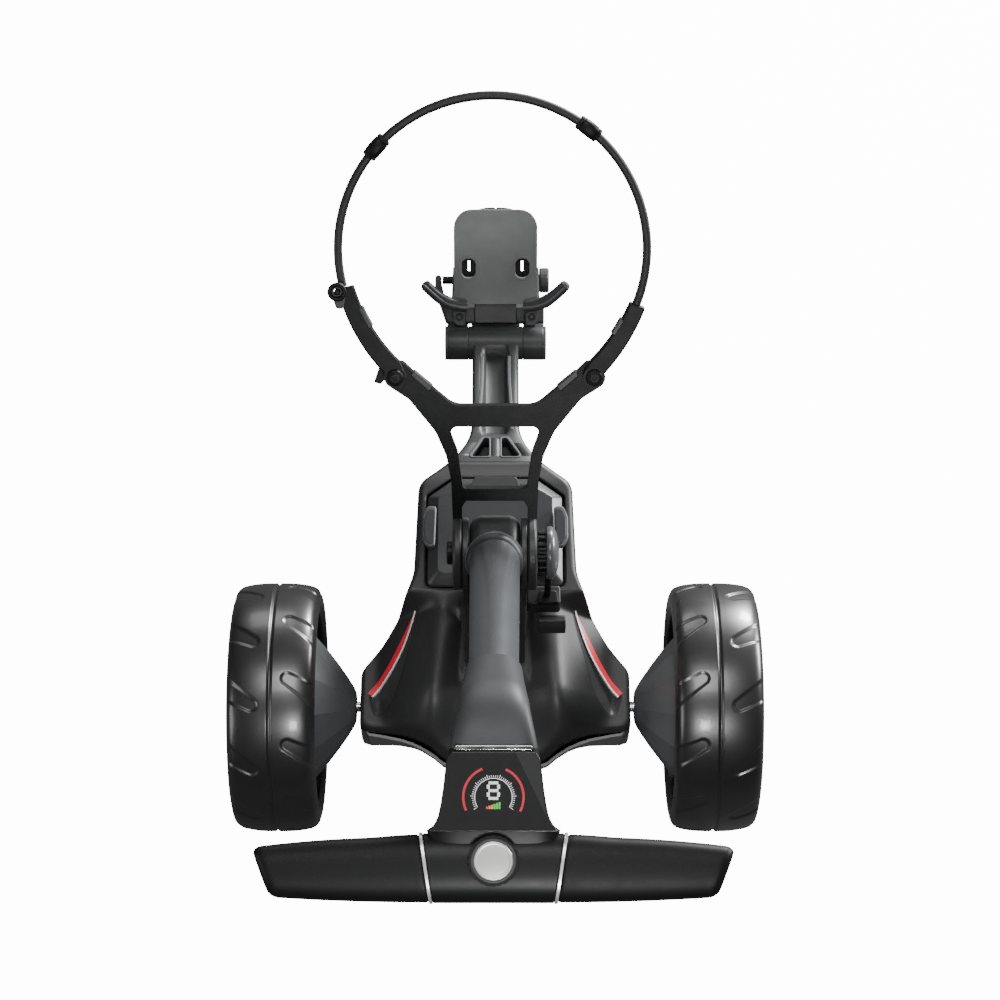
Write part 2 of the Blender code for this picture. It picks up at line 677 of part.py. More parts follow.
def upper_arms(lean):
    """Each arm carries on the curve of the loop down to its pivot."""
    for side in (-1, 1):
        name = side_name(side)
        pivot = Vector((101, 190.6))
        line = frame(f"upper_arm_line_{name}", (side * pivot.x, pivot.y, 0), lean)
        tip = ARM_TIPS[side]
        outer, inner = [], []
        for step in range(8):
            angle = tip - (50.0 + tip) * step / 7
            wide = 8.5 + 1.5 * step / 7
            middle = LOOP_RADIUS - 0.8 + 4.5 * (step / 7) ** 2
            radial = Vector((math.cos(math.radians(angle)), math.sin(math.radians(angle))))
            centre = Vector((0.0 if side > 0 else 0.5, LOOP_CENTRE[1]))
            outer.append(centre + radial * (middle + wide))
            inner.append(centre + radial * (middle - wide))
        eye = [pivot + Vector((math.cos(math.radians(a)), math.sin(math.radians(a)))) * 11.5
               for a in (-45, -80, -115, -150, -185)]
        points = outer + eye + list(reversed(inner))
        shape = [(side * (p.x - pivot.x), p.y - pivot.y) for p in points]
        arm = plate(f"upper_arm_{name}", [shape, circle(4.4, 16)], 3 + GAP, 15.3, "dark", line)
        rounded(arm, 1.5, 1)
        bolt = [(0, 19), (6, 19), (8.5, 17), (8.5, 15.7), (4, 15.7), (4, -9.4), (0, -9.4)]
        turned(f"arm_pivot_{name}", bolt, "steel", line, steps=16, closed=False)


def loop_point(angle, height=LOOP_HEIGHT):
    turn = math.radians(angle)
    return Vector((LOOP_CENTRE[0] + LOOP_RADIUS * math.cos(turn),
                   LOOP_CENTRE[1] + LOOP_RADIUS * math.sin(turn), height))


def strap(lean):
    start, end = ARM_TIPS[1] + 0.4, 180 - ARM_TIPS[-1] - 0.4
    count = 37
    points = [loop_point(start + (end - start) * step / (count - 1)) for step in range(count)]
    rings = []
    for index, point in enumerate(points):
        radial = (point - Vector((*LOOP_CENTRE, LOOP_HEIGHT))).normalized()
        rings.append(oval(point, STRAP_RADIUS, STRAP_RADIUS, radial, Vector((0, 0, 1)), 2, 8))
    loft("bag_strap", rings, "cord", lean)
    for side, angle in ((-1, 138.0), (1, 52.0)):
        centre = loop_point(angle)
        radial = (centre - Vector((*LOOP_CENTRE, LOOP_HEIGHT))).normalized()
        along = radial.cross(Vector((0, 0, 1)))
        outside, inside = [], []
        for reach, grow in ((-11.5, 2.0), (-8.5, 2.7), (8.5, 2.7), (11.5, 2.0)):
            middle = loop_point(angle + math.degrees(-reach / LOOP_RADIUS))
            out = (middle - Vector((*LOOP_CENTRE, LOOP_HEIGHT))).normalized()
            outside.append(oval(middle, STRAP_RADIUS + grow, STRAP_RADIUS + grow, out, Vector((0, 0, 1)), 3, 12))
        for reach in (-14, -7, 0, 7, 14):
            middle = loop_point(angle + math.degrees(-reach / LOOP_RADIUS))
            out = (middle - Vector((*LOOP_CENTRE, LOOP_HEIGHT))).normalized()
            inside.append(oval(middle, STRAP_RADIUS + 0.5, STRAP_RADIUS + 0.5, out, Vector((0, 0, 1)), 2, 10))
        slider = loft(f"strap_slider_{side_name(side)}", outside, "dark", lean)
        cut(slider, loft(f"slider_hollow_{side_name(side)}", inside, None, lean))
    hook_at = loop_point(180 - ARM_TIPS[-1] + 2) + Vector((-6, 0, 0))
    hook = frame("strap_hook_frame", (hook_at.x, hook_at.y, 15.3 + GAP), lean)
    hook.rotation_euler = (0, 0, math.radians(-10))
    body_box = box("strap_hook", (-9, -13, 0), (8, 11, 9), "dark", hook, 2)
    cut(body_box, rod("hook_eye", 3.5, -5, 15, None, hook, (-2, 3, 0), "Z", 12))


def hinge_hardware(trolley):
    bolt = [(0, -50), (11, -50), (12, -49), (12, -44.2), (6.2, -44.2), (6.2, 54), (0, 54)]
    turned("hinge_bolt", list(reversed(bolt)), "steel", trolley, HINGE, out=1, steps=20, closed=False)
    knob_line = frame("clamp_knob_line", HINGE, trolley)
    knob = [(10, 66.6), (24, 65.5), (28, 62), (28, 56), (25, 52.5), (18, 52), (18, 44.2), (6.7, 44.2),
            (6.7, 58), (3, 58), (3, 66.6)]
    clamp = turned("clamp_knob", knob, "grey", knob_line, out=1, steps=20)
    teeth = []
    for tooth in range(14):
        for along, radius in ((-0.3, 19), (-0.2, 24), (0.2, 24), (0.3, 19)):
            turn = 2 * math.pi * (tooth + along) / 14
            teeth.append((radius * math.sin(turn), radius * math.cos(turn)))
    ratchet = plate("clamp_ratchet", [teeth, circle(12)], -52.4, -44.3, None, knob_line, turn=(0, -90, 0))
    unite(clamp, ratchet)
    block = box("lock_block", (33.9, 43, 316), (70, 66, 342), "black", trolley, 2)
    unite(block, rod("lock_stem", 3.6, 330, 396, None, trolley, (56, 54, 0), "Z", 12))
    lever_line = frame("lock_lever_line", (61, 38, 312), trolley)
    corners = [(4, 6, 3), (5, -3, 3), (-7, -13, 3), (-12, -10, 2), (-8, 0, 3), (-3, 6, 3)]
    shape = [(z, y) for y, z in corner_arcs(corners, 2)]
    lever = plate("lock_lever", [shape], -15, 15, "black", lever_line, turn=(0, -90, 0))
    rounded(lever, 1, 1)


# ---------------------------------------------------------------- shaft and handle

def shaft(trolley):
    lean = frame("shaft_line", HINGE, trolley, 90 - SHAFT_ANGLE)
    socket = rod("shaft_socket", SOCKET_RADIUS, -SOCKET_HALF, SOCKET_HALF, "dark", lean, sides=32)
    unite(socket, rod("socket_neck", 26.1, 0, TUBE_START - GAP, None, lean, (0, 0, 0), "Z", 32))
    cut(socket, rod("socket_bolt_bore", 6.6, -70, 70, None, lean))
    tube = [(TUBE_HIGH_RADIUS, TUBE_END), (TUBE_LOW_RADIUS, TUBE_START), (TUBE_LOW_RADIUS - 2.2, TUBE_START),
            (TUBE_HIGH_RADIUS - 2.2, TUBE_END)]
    turned("shaft_tube", tube, "tube", lean, steps=32)
    handle(trolley)


def neck_path(count=7):
    """(centre, heading in radians) along the neck, from the tube's end to the end of the bend."""
    slope = math.radians(180 - SHAFT_ANGLE)
    ahead = Vector((0, math.cos(slope), math.sin(slope)))
    up = Vector((0, math.sin(slope), -math.cos(slope)))
    hinge = Vector(HINGE)
    stations = [(hinge + ahead * along, slope) for along in (TUBE_END + GAP, 500, 525, NECK_STRAIGHT_END)]
    pivot = hinge + ahead * NECK_STRAIGHT_END - up * BEND_RADIUS
    for step in range(1, count + 1):
        turn = slope + (math.radians(180 + HANDLE_DROOP) - slope) * step / count
        out = Vector((0, math.sin(turn), -math.cos(turn)))
        stations.append((pivot + out * BEND_RADIUS, turn))
    return stations


def console_frame(trolley):
    """A frame on the console's centre line where the bend ends: -Y runs to the user, Z is out of the screen."""
    end, _ = neck_path()[-1]
    return frame("console_frame", end, trolley, HANDLE_DROOP)


NECK_HALF_WIDTHS = (25.2, 26.0, 27.0, 28.2, 28.9, 29.7, 30.6, 31.8, 33.3, 34.9, 36.4)
CONSOLE_WIDTHS = ((10, 38.6), (33, 41), (46, 43), (58, 46), (CONSOLE_LENGTH, 53))


def console_outline(grow=0.0, start=3.0):
    """The display panel's outline, from its rear edge to the handle."""
    right = [(34.0 + grow, -start + grow, 3), (38.3 + grow, -10, 10), (41 + grow, -33, 30), (43 + grow, -46, 20),
             (45.5 + grow, -58, 12), (52.5 + grow, -67.5 - grow, 0)]
    corners = right + [(-x, y, r) for x, y, r in reversed(right)]
    return [tuple(point) for point in corner_arcs(corners, 3)]


def core_ring(x, slant, half_deep, half_thick, middle=-96.5, count=20, power=2.6):
    """A section of the handle; slant leans it so that its far side is nearer the middle."""
    ring = oval((0, 0, 0), half_deep, half_thick, Vector((0, 1, 0)), Vector((0, 0, 1)), power, count)
    return [Vector((x + slant * point.y, middle + point.y, point.z)) for point in ring]


def handle(trolley):
    stations = neck_path()
    rings = []
    for (centre, turn), half in zip(stations, NECK_HALF_WIDTHS):
        up = Vector((0, math.sin(turn), -math.cos(turn)))
        squareness = 2.7 + 1.9 * ramp(half, 25, 36)
        thick = 23.0 + (CONSOLE_HALF_THICK - 23.0) * ramp(half, 25, 36)
        rings.append(oval(centre, half, thick, Vector((1, 0, 0)), up, squareness, 24))
    centre, turn = stations[-1]
    ahead = Vector((0, math.cos(turn), math.sin(turn)))
    up = Vector((0, math.sin(turn), -math.cos(turn)))
    for along, half in CONSOLE_WIDTHS:
        rings.append(oval(centre + ahead * along, half, CONSOLE_HALF_THICK, Vector((1, 0, 0)), up, 4.8, 24))
    rings.append(oval(centre + ahead * (CONSOLE_LENGTH + 16), 50, CONSOLE_HALF_THICK - 4, Vector((1, 0, 0)), up,
                      4.8, 24))
    housing = loft("handle_housing", rings, "black", trolley)
    console = console_frame(trolley)
    core = []
    for x in (-53.5, -36, -18, 0, 18, 36, 53.5):
        slant = RING_SLANT * x / 53.5
        core.append(core_ring(x, slant, 28.2, CONSOLE_HALF_THICK - 0.6 * abs(x) / 53.5))
    unite(housing, loft("handle_core", core, None, console))
    cut(housing, plate("panel_recess", [console_outline(GAP)], CONSOLE_HALF_THICK - 2, 60, None, console))
    cut(housing, rod("dial_recess", 21.5, 13.5, 60, None, console, (0, -90.7, 0), "Z", 32))
    display = plate("display_panel", [console_outline()], CONSOLE_HALF_THICK - 1.7, CONSOLE_HALF_THICK + 0.9,
                    "screen", console)
    rounded(display, 0.6, 1)
    strip = box("chrome_strip", (-32, -1.6, CONSOLE_HALF_THICK + 0.4), (32, 2, CONSOLE_HALF_THICK + 1.8), "silver",
                console)
    rounded(strip, 0.5, 1)
    grips(console)
    dial(console)


def grips(console):
    for side in (-1, 1):
        name = side_name(side)
        band = [core_ring(side * x, side * RING_SLANT, 28.8, 18.9) for x in (53.8, 56.4)]
        loft(f"handle_ring_{name}", band, "silver", console)
        rings = []
        for part in (0.0, 0.08, 0.2, 0.35, 0.5, 0.65, 0.8, 0.93, 0.975, 1.0):
            x = 56.7 + GRIP_LENGTH * part
            far = 69.2 + 2.0 * ramp(part, 0, 0.35) + 8.3 * part ** 2.2
            near = 124.2 - 4.2 * part ** 2
            slant = RING_SLANT + 0.23 * part ** 2
            thick = 18.2 - 3.2 * part
            shrink = 1.0 - 0.16 * ramp(part, 0.94, 1.0)
            half = (near - far) / 2 * shrink
            rings.append(core_ring(side * x, side * slant, half, thick * shrink, -(near + far) / 2))
        loft(f"grip_{name}", rings, "grip", console)


def dial(console):
    push = frame("dial_line", (0, -90.7, 0), console)
    notches = []
    for tooth in range(24):
        for along, radius in ((-0.3, 20.7), (0.3, 20.7), (0.42, 19.9), (0.58, 19.9)):
            turn = 2 * math.pi * (tooth + along) / 24
            notches.append((radius * math.cos(turn), radius * math.sin(turn)))
    plate("speed_dial", [notches], 15.5, 26, "dark", push)
    cap = rod("dial_cap", 15.7, 26.3, 28.0, "silver", push, axis="Z", sides=32)
    rounded(cap, 0.6, 1)


# ---------------------------------------------------------------- the trolley

clear_scene()
PARTS = new_collection("electric_golf_trolley")
CUTTERS = new_collection("cutters")
TROLLEY = frame("trolley", (0, TROLLEY_SHIFT, 0))
for wheel_side in (-1, 1):
    rear_wheel(wheel_side, TROLLEY)
drive(TROLLEY)
body(TROLLEY)
battery(TROLLEY)
front_arm(TROLLEY)
front_fold(TROLLEY)
pedestal(TROLLEY)
cradle(TROLLEY)
hinge_hardware(TROLLEY)
shaft(TROLLEY)
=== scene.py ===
"""Looks of the electric golf trolley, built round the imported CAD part.

Lengths are millimetres in the functions and metres in the meshes. A place is (x, y, z) with y measured
forward from the rear axle and z from the ground, as in the part itself.
"""

import math

import bmesh
import bpy
import numpy as np
from mathutils import Matrix, Vector


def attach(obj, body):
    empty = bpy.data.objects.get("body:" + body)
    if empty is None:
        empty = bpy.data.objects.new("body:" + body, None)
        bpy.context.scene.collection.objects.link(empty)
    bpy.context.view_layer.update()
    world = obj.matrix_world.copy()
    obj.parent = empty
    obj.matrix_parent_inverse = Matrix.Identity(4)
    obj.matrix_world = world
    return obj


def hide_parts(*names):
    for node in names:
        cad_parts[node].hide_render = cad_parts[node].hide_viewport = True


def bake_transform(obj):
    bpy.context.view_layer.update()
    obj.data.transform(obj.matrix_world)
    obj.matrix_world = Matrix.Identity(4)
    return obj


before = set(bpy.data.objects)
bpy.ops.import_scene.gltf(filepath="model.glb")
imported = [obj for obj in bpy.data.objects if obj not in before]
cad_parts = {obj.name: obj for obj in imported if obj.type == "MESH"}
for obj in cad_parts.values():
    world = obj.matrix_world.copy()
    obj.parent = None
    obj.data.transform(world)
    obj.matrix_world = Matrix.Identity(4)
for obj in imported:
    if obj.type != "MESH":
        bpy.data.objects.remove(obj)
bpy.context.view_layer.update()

MM = 0.001
AXLE_Y = -122.4                 # y of the rear axle in the row frame
HINGE = Vector((0, 67, 430))
BARREL = Vector((0, 447.7, 170))
FRONT_AXLE = Vector((0, 577, 90))
PLATE_FOOT = Vector((0, 487, 188))
WHEEL_CENTRE = 244.3
ORIGIN = (0, 0, 0)
UP = Vector((0, 0, 1))
SIDES = ((-1, "left"), (1, "right"))
WHITE_OUT = 14.0                # brightness of the floor and sky to the camera


# ---------------------------------------------------------------- camera and light

def set_inputs(shader, values):
    for socket, value in values.items():
        shader.inputs[socket].default_value = value


def add(name, data):
    """A new object in the scene."""
    obj = bpy.data.objects.new(name, data)
    bpy.context.scene.collection.objects.link(obj)
    return obj


def camera():
    data = bpy.data.cameras.new("camera")
    data.lens = 92.6
    data.sensor_width = 36.0
    data.clip_end = 100.0
    obj = add("camera", data)
    obj.location = (0.0053, -1.0929, 2.8953)
    obj.rotation_euler = (math.radians(24.0), 0.0, 0.0)
    bpy.context.scene.camera = obj


def area_light(name, place, target, size, watts, size_y=None):
    data = bpy.data.lights.new(name, "AREA")
    data.energy = watts
    data.size = size
    if size_y:
        data.shape = "RECTANGLE"
        data.size_y = size_y
    obj = add(name, data)
    obj.location = place
    obj.rotation_euler = (Vector(target) - Vector(place)).to_track_quat("-Z", "Y").to_euler()
    obj.visible_camera = False


def lights():
    area_light("key_spot", (0.12, -1.28, 1.75), (0, -0.1, 0.2), 0.26, 14)
    area_light("overhead", (0.0, 0.1, 3.6), (0, 0, 0.2), 1.1, 44)
    area_light("front_right", (1.2, 2.45, 0.85), (0, 0, 0.3), 0.5, 150)
    area_light("front", (-0.5, 2.7, 1.3), (0, 0.1, 0.35), 1.0, 12)
    area_light("right_side", (2.3, 1.1, 0.75), (0, 0.1, 0.25), 1.0, 95, 0.7)
    area_light("left_fill", (-2.4, -0.9, 1.3), (0, 0, 0.3), 1.2, 16)


def seen_only(tree, low, high):
    """A strength that is high where the camera sees the surface itself, and low for its light."""
    path = node(tree, "LightPath", {})
    limits = {"To Min": low, "To Max": high}
    return node(tree, "MapRange", limits, Value=path.outputs["Is Camera Ray"]).outputs["Result"]


def backdrop():
    """A pale floor and sky, brighter to the eye than in reflections."""
    world = bpy.data.worlds.new("studio")
    world.use_nodes = True
    tree = world.node_tree
    ground = tree.nodes["Background"]
    tree.links.new(seen_only(tree, 0.07, WHITE_OUT), ground.inputs["Strength"])
    ground.inputs["Color"].default_value = (1, 1, 1, 1)
    bpy.context.scene.world = world

    bm = bmesh.new()
    bmesh.ops.create_grid(bm, x_segments=2, y_segments=2, size=20)
    mesh = bpy.data.meshes.new("floor")
    bm.to_mesh(mesh)
    bm.free()
    floor = add("floor", mesh)
    floor.location.z = -0.0008
    made = bpy.data.materials.new("floor")
    made.use_nodes = True
    tree = made.node_tree
    shader = tree.nodes["Principled BSDF"]
    set_inputs(shader, {"Base Color": (0.1, 0.1, 0.1, 1), "Roughness": 0.9, "Specular IOR Level": 0.0,
        "Emission Color": (1, 1, 1, 1)})
    tree.links.new(seen_only(tree, 0.0, WHITE_OUT), shader.inputs["Emission Strength"])
    floor.data.materials.append(made)


# ---------------------------------------------------------------- materials

def node(tree, kind, values, **links):
    """A new shader node: values sets its inputs, and links joins other nodes' outputs to them."""
    made = tree.nodes.new("ShaderNode" + kind)
    set_inputs(made, values)
    for socket, output in links.items():
        tree.links.new(output, made.inputs[socket])
    return made


def surface(name, rgb, roughness, grain, bump, mottle, vary, patch=18.0, metallic=0.0, specular=0.5,
        coat=0.0, wear_and_highlight=0.0, stretch=(1, 1, 1)):
    """A moulded or coated surface: uneven colour and gloss, and a fine grain of the given size in mm."""
    made = bpy.data.materials.new(name)
    made.use_nodes = True
    tree = made.node_tree
    link = tree.links.new
    shader = tree.nodes["Principled BSDF"]
    set_inputs(shader, {"Metallic": metallic, "Specular IOR Level": specular, "Coat Weight": coat,
        "Coat Roughness": 0.12})
    place = node(tree, "TexCoord", {})
    spread = node(tree, "Mapping", {"Scale": stretch}, Vector=place.outputs["Object"]).outputs["Vector"]

    cloud = node(tree, "TexNoise", {"Scale": patch, "Detail": 5.0}, Vector=spread)
    tone = node(tree, "ValToRGB", {}, Fac=cloud.outputs["Fac"])
    for element, position, share in zip(tone.color_ramp.elements, (0.3, 0.7), (1 - mottle, 1 + mottle)):
        element.position = position
        element.color = (*[min(1.0, channel * share) for channel in rgb], 1)
    colour = tone.outputs["Color"]
    fine = node(tree, "TexNoise", {"Scale": 1000.0 / grain, "Detail": 2.0}, Vector=spread)
    smear = node(tree, "TexNoise", {"Scale": patch * 4.3, "Detail": 6.0, "Roughness": 0.65}, Vector=spread)
    limits = {"From Min": 0.3, "From Max": 0.7, "To Min": max(0.02, roughness - vary),
        "To Max": roughness + vary}
    gloss = node(tree, "MapRange", limits, Value=smear.outputs["Fac"])
    link(gloss.outputs["Result"], shader.inputs["Roughness"])

    # Edges are painted lighter where pointiness is high: partly wear, partly a painted highlight along the
    # edges.
    if wear_and_highlight:
        edge = node(tree, "NewGeometry", {})
        limits = {"From Min": 0.53, "From Max": 0.62, "To Max": wear_and_highlight}
        sharp = node(tree, "MapRange", limits, Value=edge.outputs["Pointiness"])
        wear_and_highlight_mix = tree.nodes.new("ShaderNodeMix")
        wear_and_highlight_mix.data_type = "RGBA"
        wear_and_highlight_mix.inputs[7].default_value = (*[min(1.0, channel * 2.2 + 0.02) for channel in rgb], 1)
        link(sharp.outputs["Result"], wear_and_highlight_mix.inputs[0])
        link(colour, wear_and_highlight_mix.inputs[6])
        colour = wear_and_highlight_mix.outputs[2]
    link(colour, shader.inputs["Base Color"])

    relief = node(tree, "Bump", {"Strength": bump, "Distance": 0.0003}, Height=fine.outputs["Fac"])
    link(relief.outputs["Normal"], shader.inputs["Normal"])
    return made


def materials():
    """Each row: name, colour, roughness, grain in mm, bump, unevenness of the colour and of the gloss."""
    return {
        "tyre": surface("tyre_rubber", (0.012, 0.012, 0.0124), 0.33, 0.5, 0.05, 0.05, 0.012, patch=9,
            specular=0.9, coat=0.3),
        "black": surface("satin_black", (0.021, 0.0212, 0.0218), 0.46, 0.3, 0.03, 0.06, 0.015, patch=7),
        "dark": surface("moulded_dark", (0.03, 0.031, 0.032), 0.44, 0.4, 0.08, 0.08, 0.03, specular=0.4,
            wear_and_highlight=0.3),
        "deep": surface("moulded_shadow", (0.006, 0.006, 0.0062), 0.5, 0.4, 0.1, 0.12, 0.07, specular=0.3),
        "grey": surface("moulded_grey", (0.085, 0.089, 0.093), 0.42, 0.4, 0.1, 0.06, 0.03, wear_and_highlight=0.2),
        "pale": surface("moulded_battery", (0.042, 0.043, 0.045), 0.32, 0.35, 0.06, 0.06, 0.02, wear_and_highlight=0.2),
        "rim": surface("moulded_rim", (0.014, 0.0145, 0.015), 0.32, 0.4, 0.06, 0.06, 0.02),
        "band": surface("moulded_band", (0.16, 0.164, 0.166), 0.45, 0.4, 0.1, 0.12, 0.07),
        "plate": surface("moulded_plate", (0.15, 0.153, 0.156), 0.5, 0.6, 0.2, 0.05, 0.07),
        "tube": surface("anthracite_coat", (0.185, 0.195, 0.208), 0.3, 0.18, 0.06, 0.04, 0.02, patch=6,
            metallic=0.8, specular=0.3),
        "arm": surface("moulded_black", (0.0075, 0.0076, 0.0078), 0.45, 0.4, 0.08, 0.08, 0.03,
            specular=0.16, wear_and_highlight=0.6),
        "core": surface("core_satin", (0.0075, 0.0076, 0.0078), 0.4, 0.35, 0.06, 0.06, 0.02, specular=0.18),
        "knob": surface("knob_grey", (0.09, 0.093, 0.096), 0.26, 0.3, 0.04, 0.12, 0.02, coat=0.3),
        "neck": surface("neck_satin", (0.05, 0.0513, 0.0536), 0.5, 0.3, 0.06, 0.05, 0.02, metallic=0.3,
            specular=0.3),
        "steel": surface("turned_steel", (0.62, 0.62, 0.62), 0.24, 0.2, 0.15, 0.12, 0.07, patch=60,
            metallic=1.0, stretch=(1, 12, 12)),
        "chrome": surface("satin_chrome", (0.78, 0.78, 0.77), 0.16, 0.2, 0.02, 0.12, 0.07, patch=20,
            metallic=1.0),
        "silver": surface("silver_trim", (0.68, 0.68, 0.66), 0.3, 0.2, 0.04, 0.03, 0.02, patch=6,
            metallic=0.6),
        "red": surface("red_inlay", (0.78, 0.02, 0.045), 0.36, 0.3, 0.04, 0.06, 0.02),
        "white": surface("white_inlay", (0.9, 0.9, 0.89), 0.4, 0.3, 0.05, 0.04, 0.07),
        "orange": surface("orange_inlay", (0.85, 0.3, 0.03), 0.4, 0.3, 0.03, 0.04, 0.07),
        "green": surface("green_inlay", (0.05, 0.6, 0.04), 0.4, 0.3, 0.03, 0.04, 0.07),
        "screen": surface("screen_cover", (0.017, 0.017, 0.0175), 0.2, 0.3, 0.01, 0.05, 0.015),
        # a lighter copy of the glass, used for a painted reflection on the display
        "sheen": surface("screen_painted_reflection", (0.032, 0.032, 0.033), 0.2, 0.3, 0.01, 0.05, 0.015),
        "grip": surface("grip_skin", (0.0065, 0.0065, 0.0067), 0.48, 0.6, 0.16, 0.06, 0.03, patch=12,
            specular=0.16),
        "cord": surface("braid", (0.01, 0.01, 0.0105), 0.55, 0.5, 0.15, 0.12, 0.03),
        "board": surface("potted_board", (0.03, 0.12, 0.05), 0.4, 0.8, 0.2, 0.12, 0.07),
    }


# ---------------------------------------------------------------- mesh helpers

def at(point):
    return Matrix.Translation((Vector(point) + Vector((0, AXLE_Y, 0))) * MM)


def tilted(point, degrees):
    return at(point) @ Matrix.Rotation(math.radians(degrees), 4, "X")


TROLLEY = at(ORIGIN)
CRADLE = tilted(HINGE, 40)
SHAFT = tilted(HINGE, 36)
PLATE = tilted(PLATE_FOOT, 40)
ON_SIDE = Matrix.Rotation(math.radians(-90), 4, "Y")    # puts an outline (z, y) in the fore-and-aft plane


def show(name, mesh, body, paint, replaces=(), matrix=TROLLEY, smooth=35.0, bevel=0.0, segments=3,
        slot=None):
    """Puts a mesh in millimetres of the given frame in the scene, riding on a body."""
    mesh.transform(matrix @ Matrix.Scale(MM, 4))
    mesh.materials.clear()
    mesh.materials.append(PAINT[paint])
    obj = add(name, mesh)
    mesh.shade_smooth()
    if smooth is not None:
        mesh.set_sharp_from_angle(angle=math.radians(smooth))
    if bevel:
        edge = obj.modifiers.new("edges", "BEVEL")
        edge.width = bevel * MM
        edge.segments = segments
        edge.limit_method = "ANGLE"
        edge.angle_limit = math.radians(32)
        edge.harden_normals = True
    if body:
        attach(obj, body)
    if replaces:
        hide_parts(*replaces)
    return obj


def mesh_of(name, points, faces):
    mesh = bpy.data.meshes.new(name)
    mesh.from_pydata([tuple(point) for point in points], [], faces)
    bm = bmesh.new()
    bm.from_mesh(mesh)
    bmesh.ops.remove_doubles(bm, verts=bm.verts, dist=0.0005)
    bmesh.ops.recalc_face_normals(bm, faces=bm.faces)
    bm.to_mesh(mesh)
    bm.free()
    return mesh


def grid_faces(rows, columns, wrap_rows=False, wrap_columns=True):
    faces = []
    for row in range(rows if wrap_rows else rows - 1):
        after = (row + 1) % rows
        for column in range(columns if wrap_columns else columns - 1):
            beside = (column + 1) % columns
            faces.append((row * columns + column, row * columns + beside, after * columns + beside,
                after * columns + column))
    return faces


def loft_mesh(name, rings):
    """Joins rings of points, with a face over each end."""
    count = len(rings[0])
    faces = grid_faces(len(rings), count)
    faces += [tuple(range(count)), tuple(range((len(rings) - 1) * count, len(rings) * count))]
    return mesh_of(name, [point for ring in rings for point in ring], faces)


def turned_mesh(name, profile, steps, side, start):
    """A profile that starts on the axis is open, and any other is a closed ring."""
    rings = []
    for radius, along in profile:
        ring = []
        for step in range(steps):
            turn = start + 2 * math.pi * step / steps
            ring.append((side * along, radius * math.sin(turn), radius * math.cos(turn)))
        rings.append(ring)
    points = [point for ring in rings for point in ring]
    return mesh_of(name, points, grid_faces(len(rings), steps, wrap_rows=profile[0][0] > 0))


def turned(name, profile, steps, *look, side=1, start=0.0, stands=None, **how):
    """Shows (radius, along) points turned about X, where along runs out on the given side.

    With stands, X is turned onto Z and the piece is moved to that place.
    """
    mesh = turned_mesh(name, profile, steps, side, start)
    if stands:
        mesh.transform(Matrix.Translation(stands) @ ON_SIDE)
    return show(name, mesh, *look, **how)


def loft(name, rings, *look, **how):
    return show(name, loft_mesh(name, rings), *look, **how)


def plate(name, outlines, low, high, *look, **how):
    """Shows a flat outline with its holes, between two heights."""
    return show(name, plate_mesh(name, outlines, low, high), *look, **how)


def corner_arcs(corners, steps=8):
    points = []
    count = len(corners)
    for index, (x, y, radius) in enumerate(corners):
        here = Vector((x, y))
        if radius <= 0:
            points.append(here)
            continue
        back = (Vector(corners[index - 1][:2]) - here).normalized()
        ahead = (Vector(corners[(index + 1) % count][:2]) - here).normalized()
        half = back.angle(ahead) / 2
        reach = radius / math.tan(half)
        centre = here + (back + ahead).normalized() * (radius / math.sin(half))
        start = here + back * reach - centre
        sweep = (here + ahead * reach - centre).angle_signed(start)
        for step in range(steps + 1):
            points.append(centre + Matrix.Rotation(sweep * step / steps, 2) @ start)
    return [(point[0], point[1]) for point in points]


def mirrored(points):
    return list(points) + [(-x, y, *rest) for x, y, *rest in reversed(points) if abs(x) > 0.01]


def plate_mesh(name, outlines, low, high):
    """A flat outline with its holes, between two heights."""
    curve = bpy.data.curves.new(name, "CURVE")
    curve.dimensions = "2D"
    curve.fill_mode = "BOTH"
    curve.extrude = (high - low) / 2
    for outline in outlines:
        spline = curve.splines.new("POLY")
        spline.points.add(len(outline) - 1)
        for point, (x, y) in zip(spline.points, outline):
            point.co = (x, y, 0.0, 1.0)
        spline.use_cyclic_u = True
    holder = add(name + "_curve", curve)
    graph = bpy.context.evaluated_depsgraph_get()
    mesh = bpy.data.meshes.new_from_object(holder.evaluated_get(graph))
    bpy.data.objects.remove(holder)
    bm = bmesh.new()
    bm.from_mesh(mesh)
    bmesh.ops.remove_doubles(bm, verts=bm.verts, dist=0.002)
    bmesh.ops.translate(bm, vec=(0, 0, (low + high) / 2), verts=bm.verts)
    bmesh.ops.recalc_face_normals(bm, faces=bm.faces)
    bmesh.ops.dissolve_limit(bm, angle_limit=0.01, verts=bm.verts, edges=bm.edges)
    bm.to_mesh(mesh)
    bm.free()
    return mesh


def sided(side, corners, steps):
    """A rounded outline given for the right side, put on either side."""
    return corner_arcs([(side * x, y, radius) for x, y, radius in corners], steps)


def box(low_x, high_x, low_y, high_y, radius=0, steps=1, side=1):
    return sided(side, [(low_x, low_y, radius), (high_x, low_y, radius), (high_x, high_y, radius),
        (low_x, high_y, radius)], steps)


def circle(radius, count=48, x=0.0, y=0.0):
    return [(x + radius * math.cos(turn), y + radius * math.sin(turn))
        for turn in (2 * math.pi * index / count for index in range(count))]


def toothed(count, tooth):
    """A ring of teeth; each is a list of (share of the pitch, radius)."""
    places = [(2 * math.pi * (index + along) / count, radius)
        for index in range(count) for along, radius in tooth]
    return [(radius * math.cos(turn), radius * math.sin(turn)) for turn, radius in places]


def spoke(degrees):
    turn = math.radians(degrees)
    return Vector((math.cos(turn), math.sin(turn), 0))


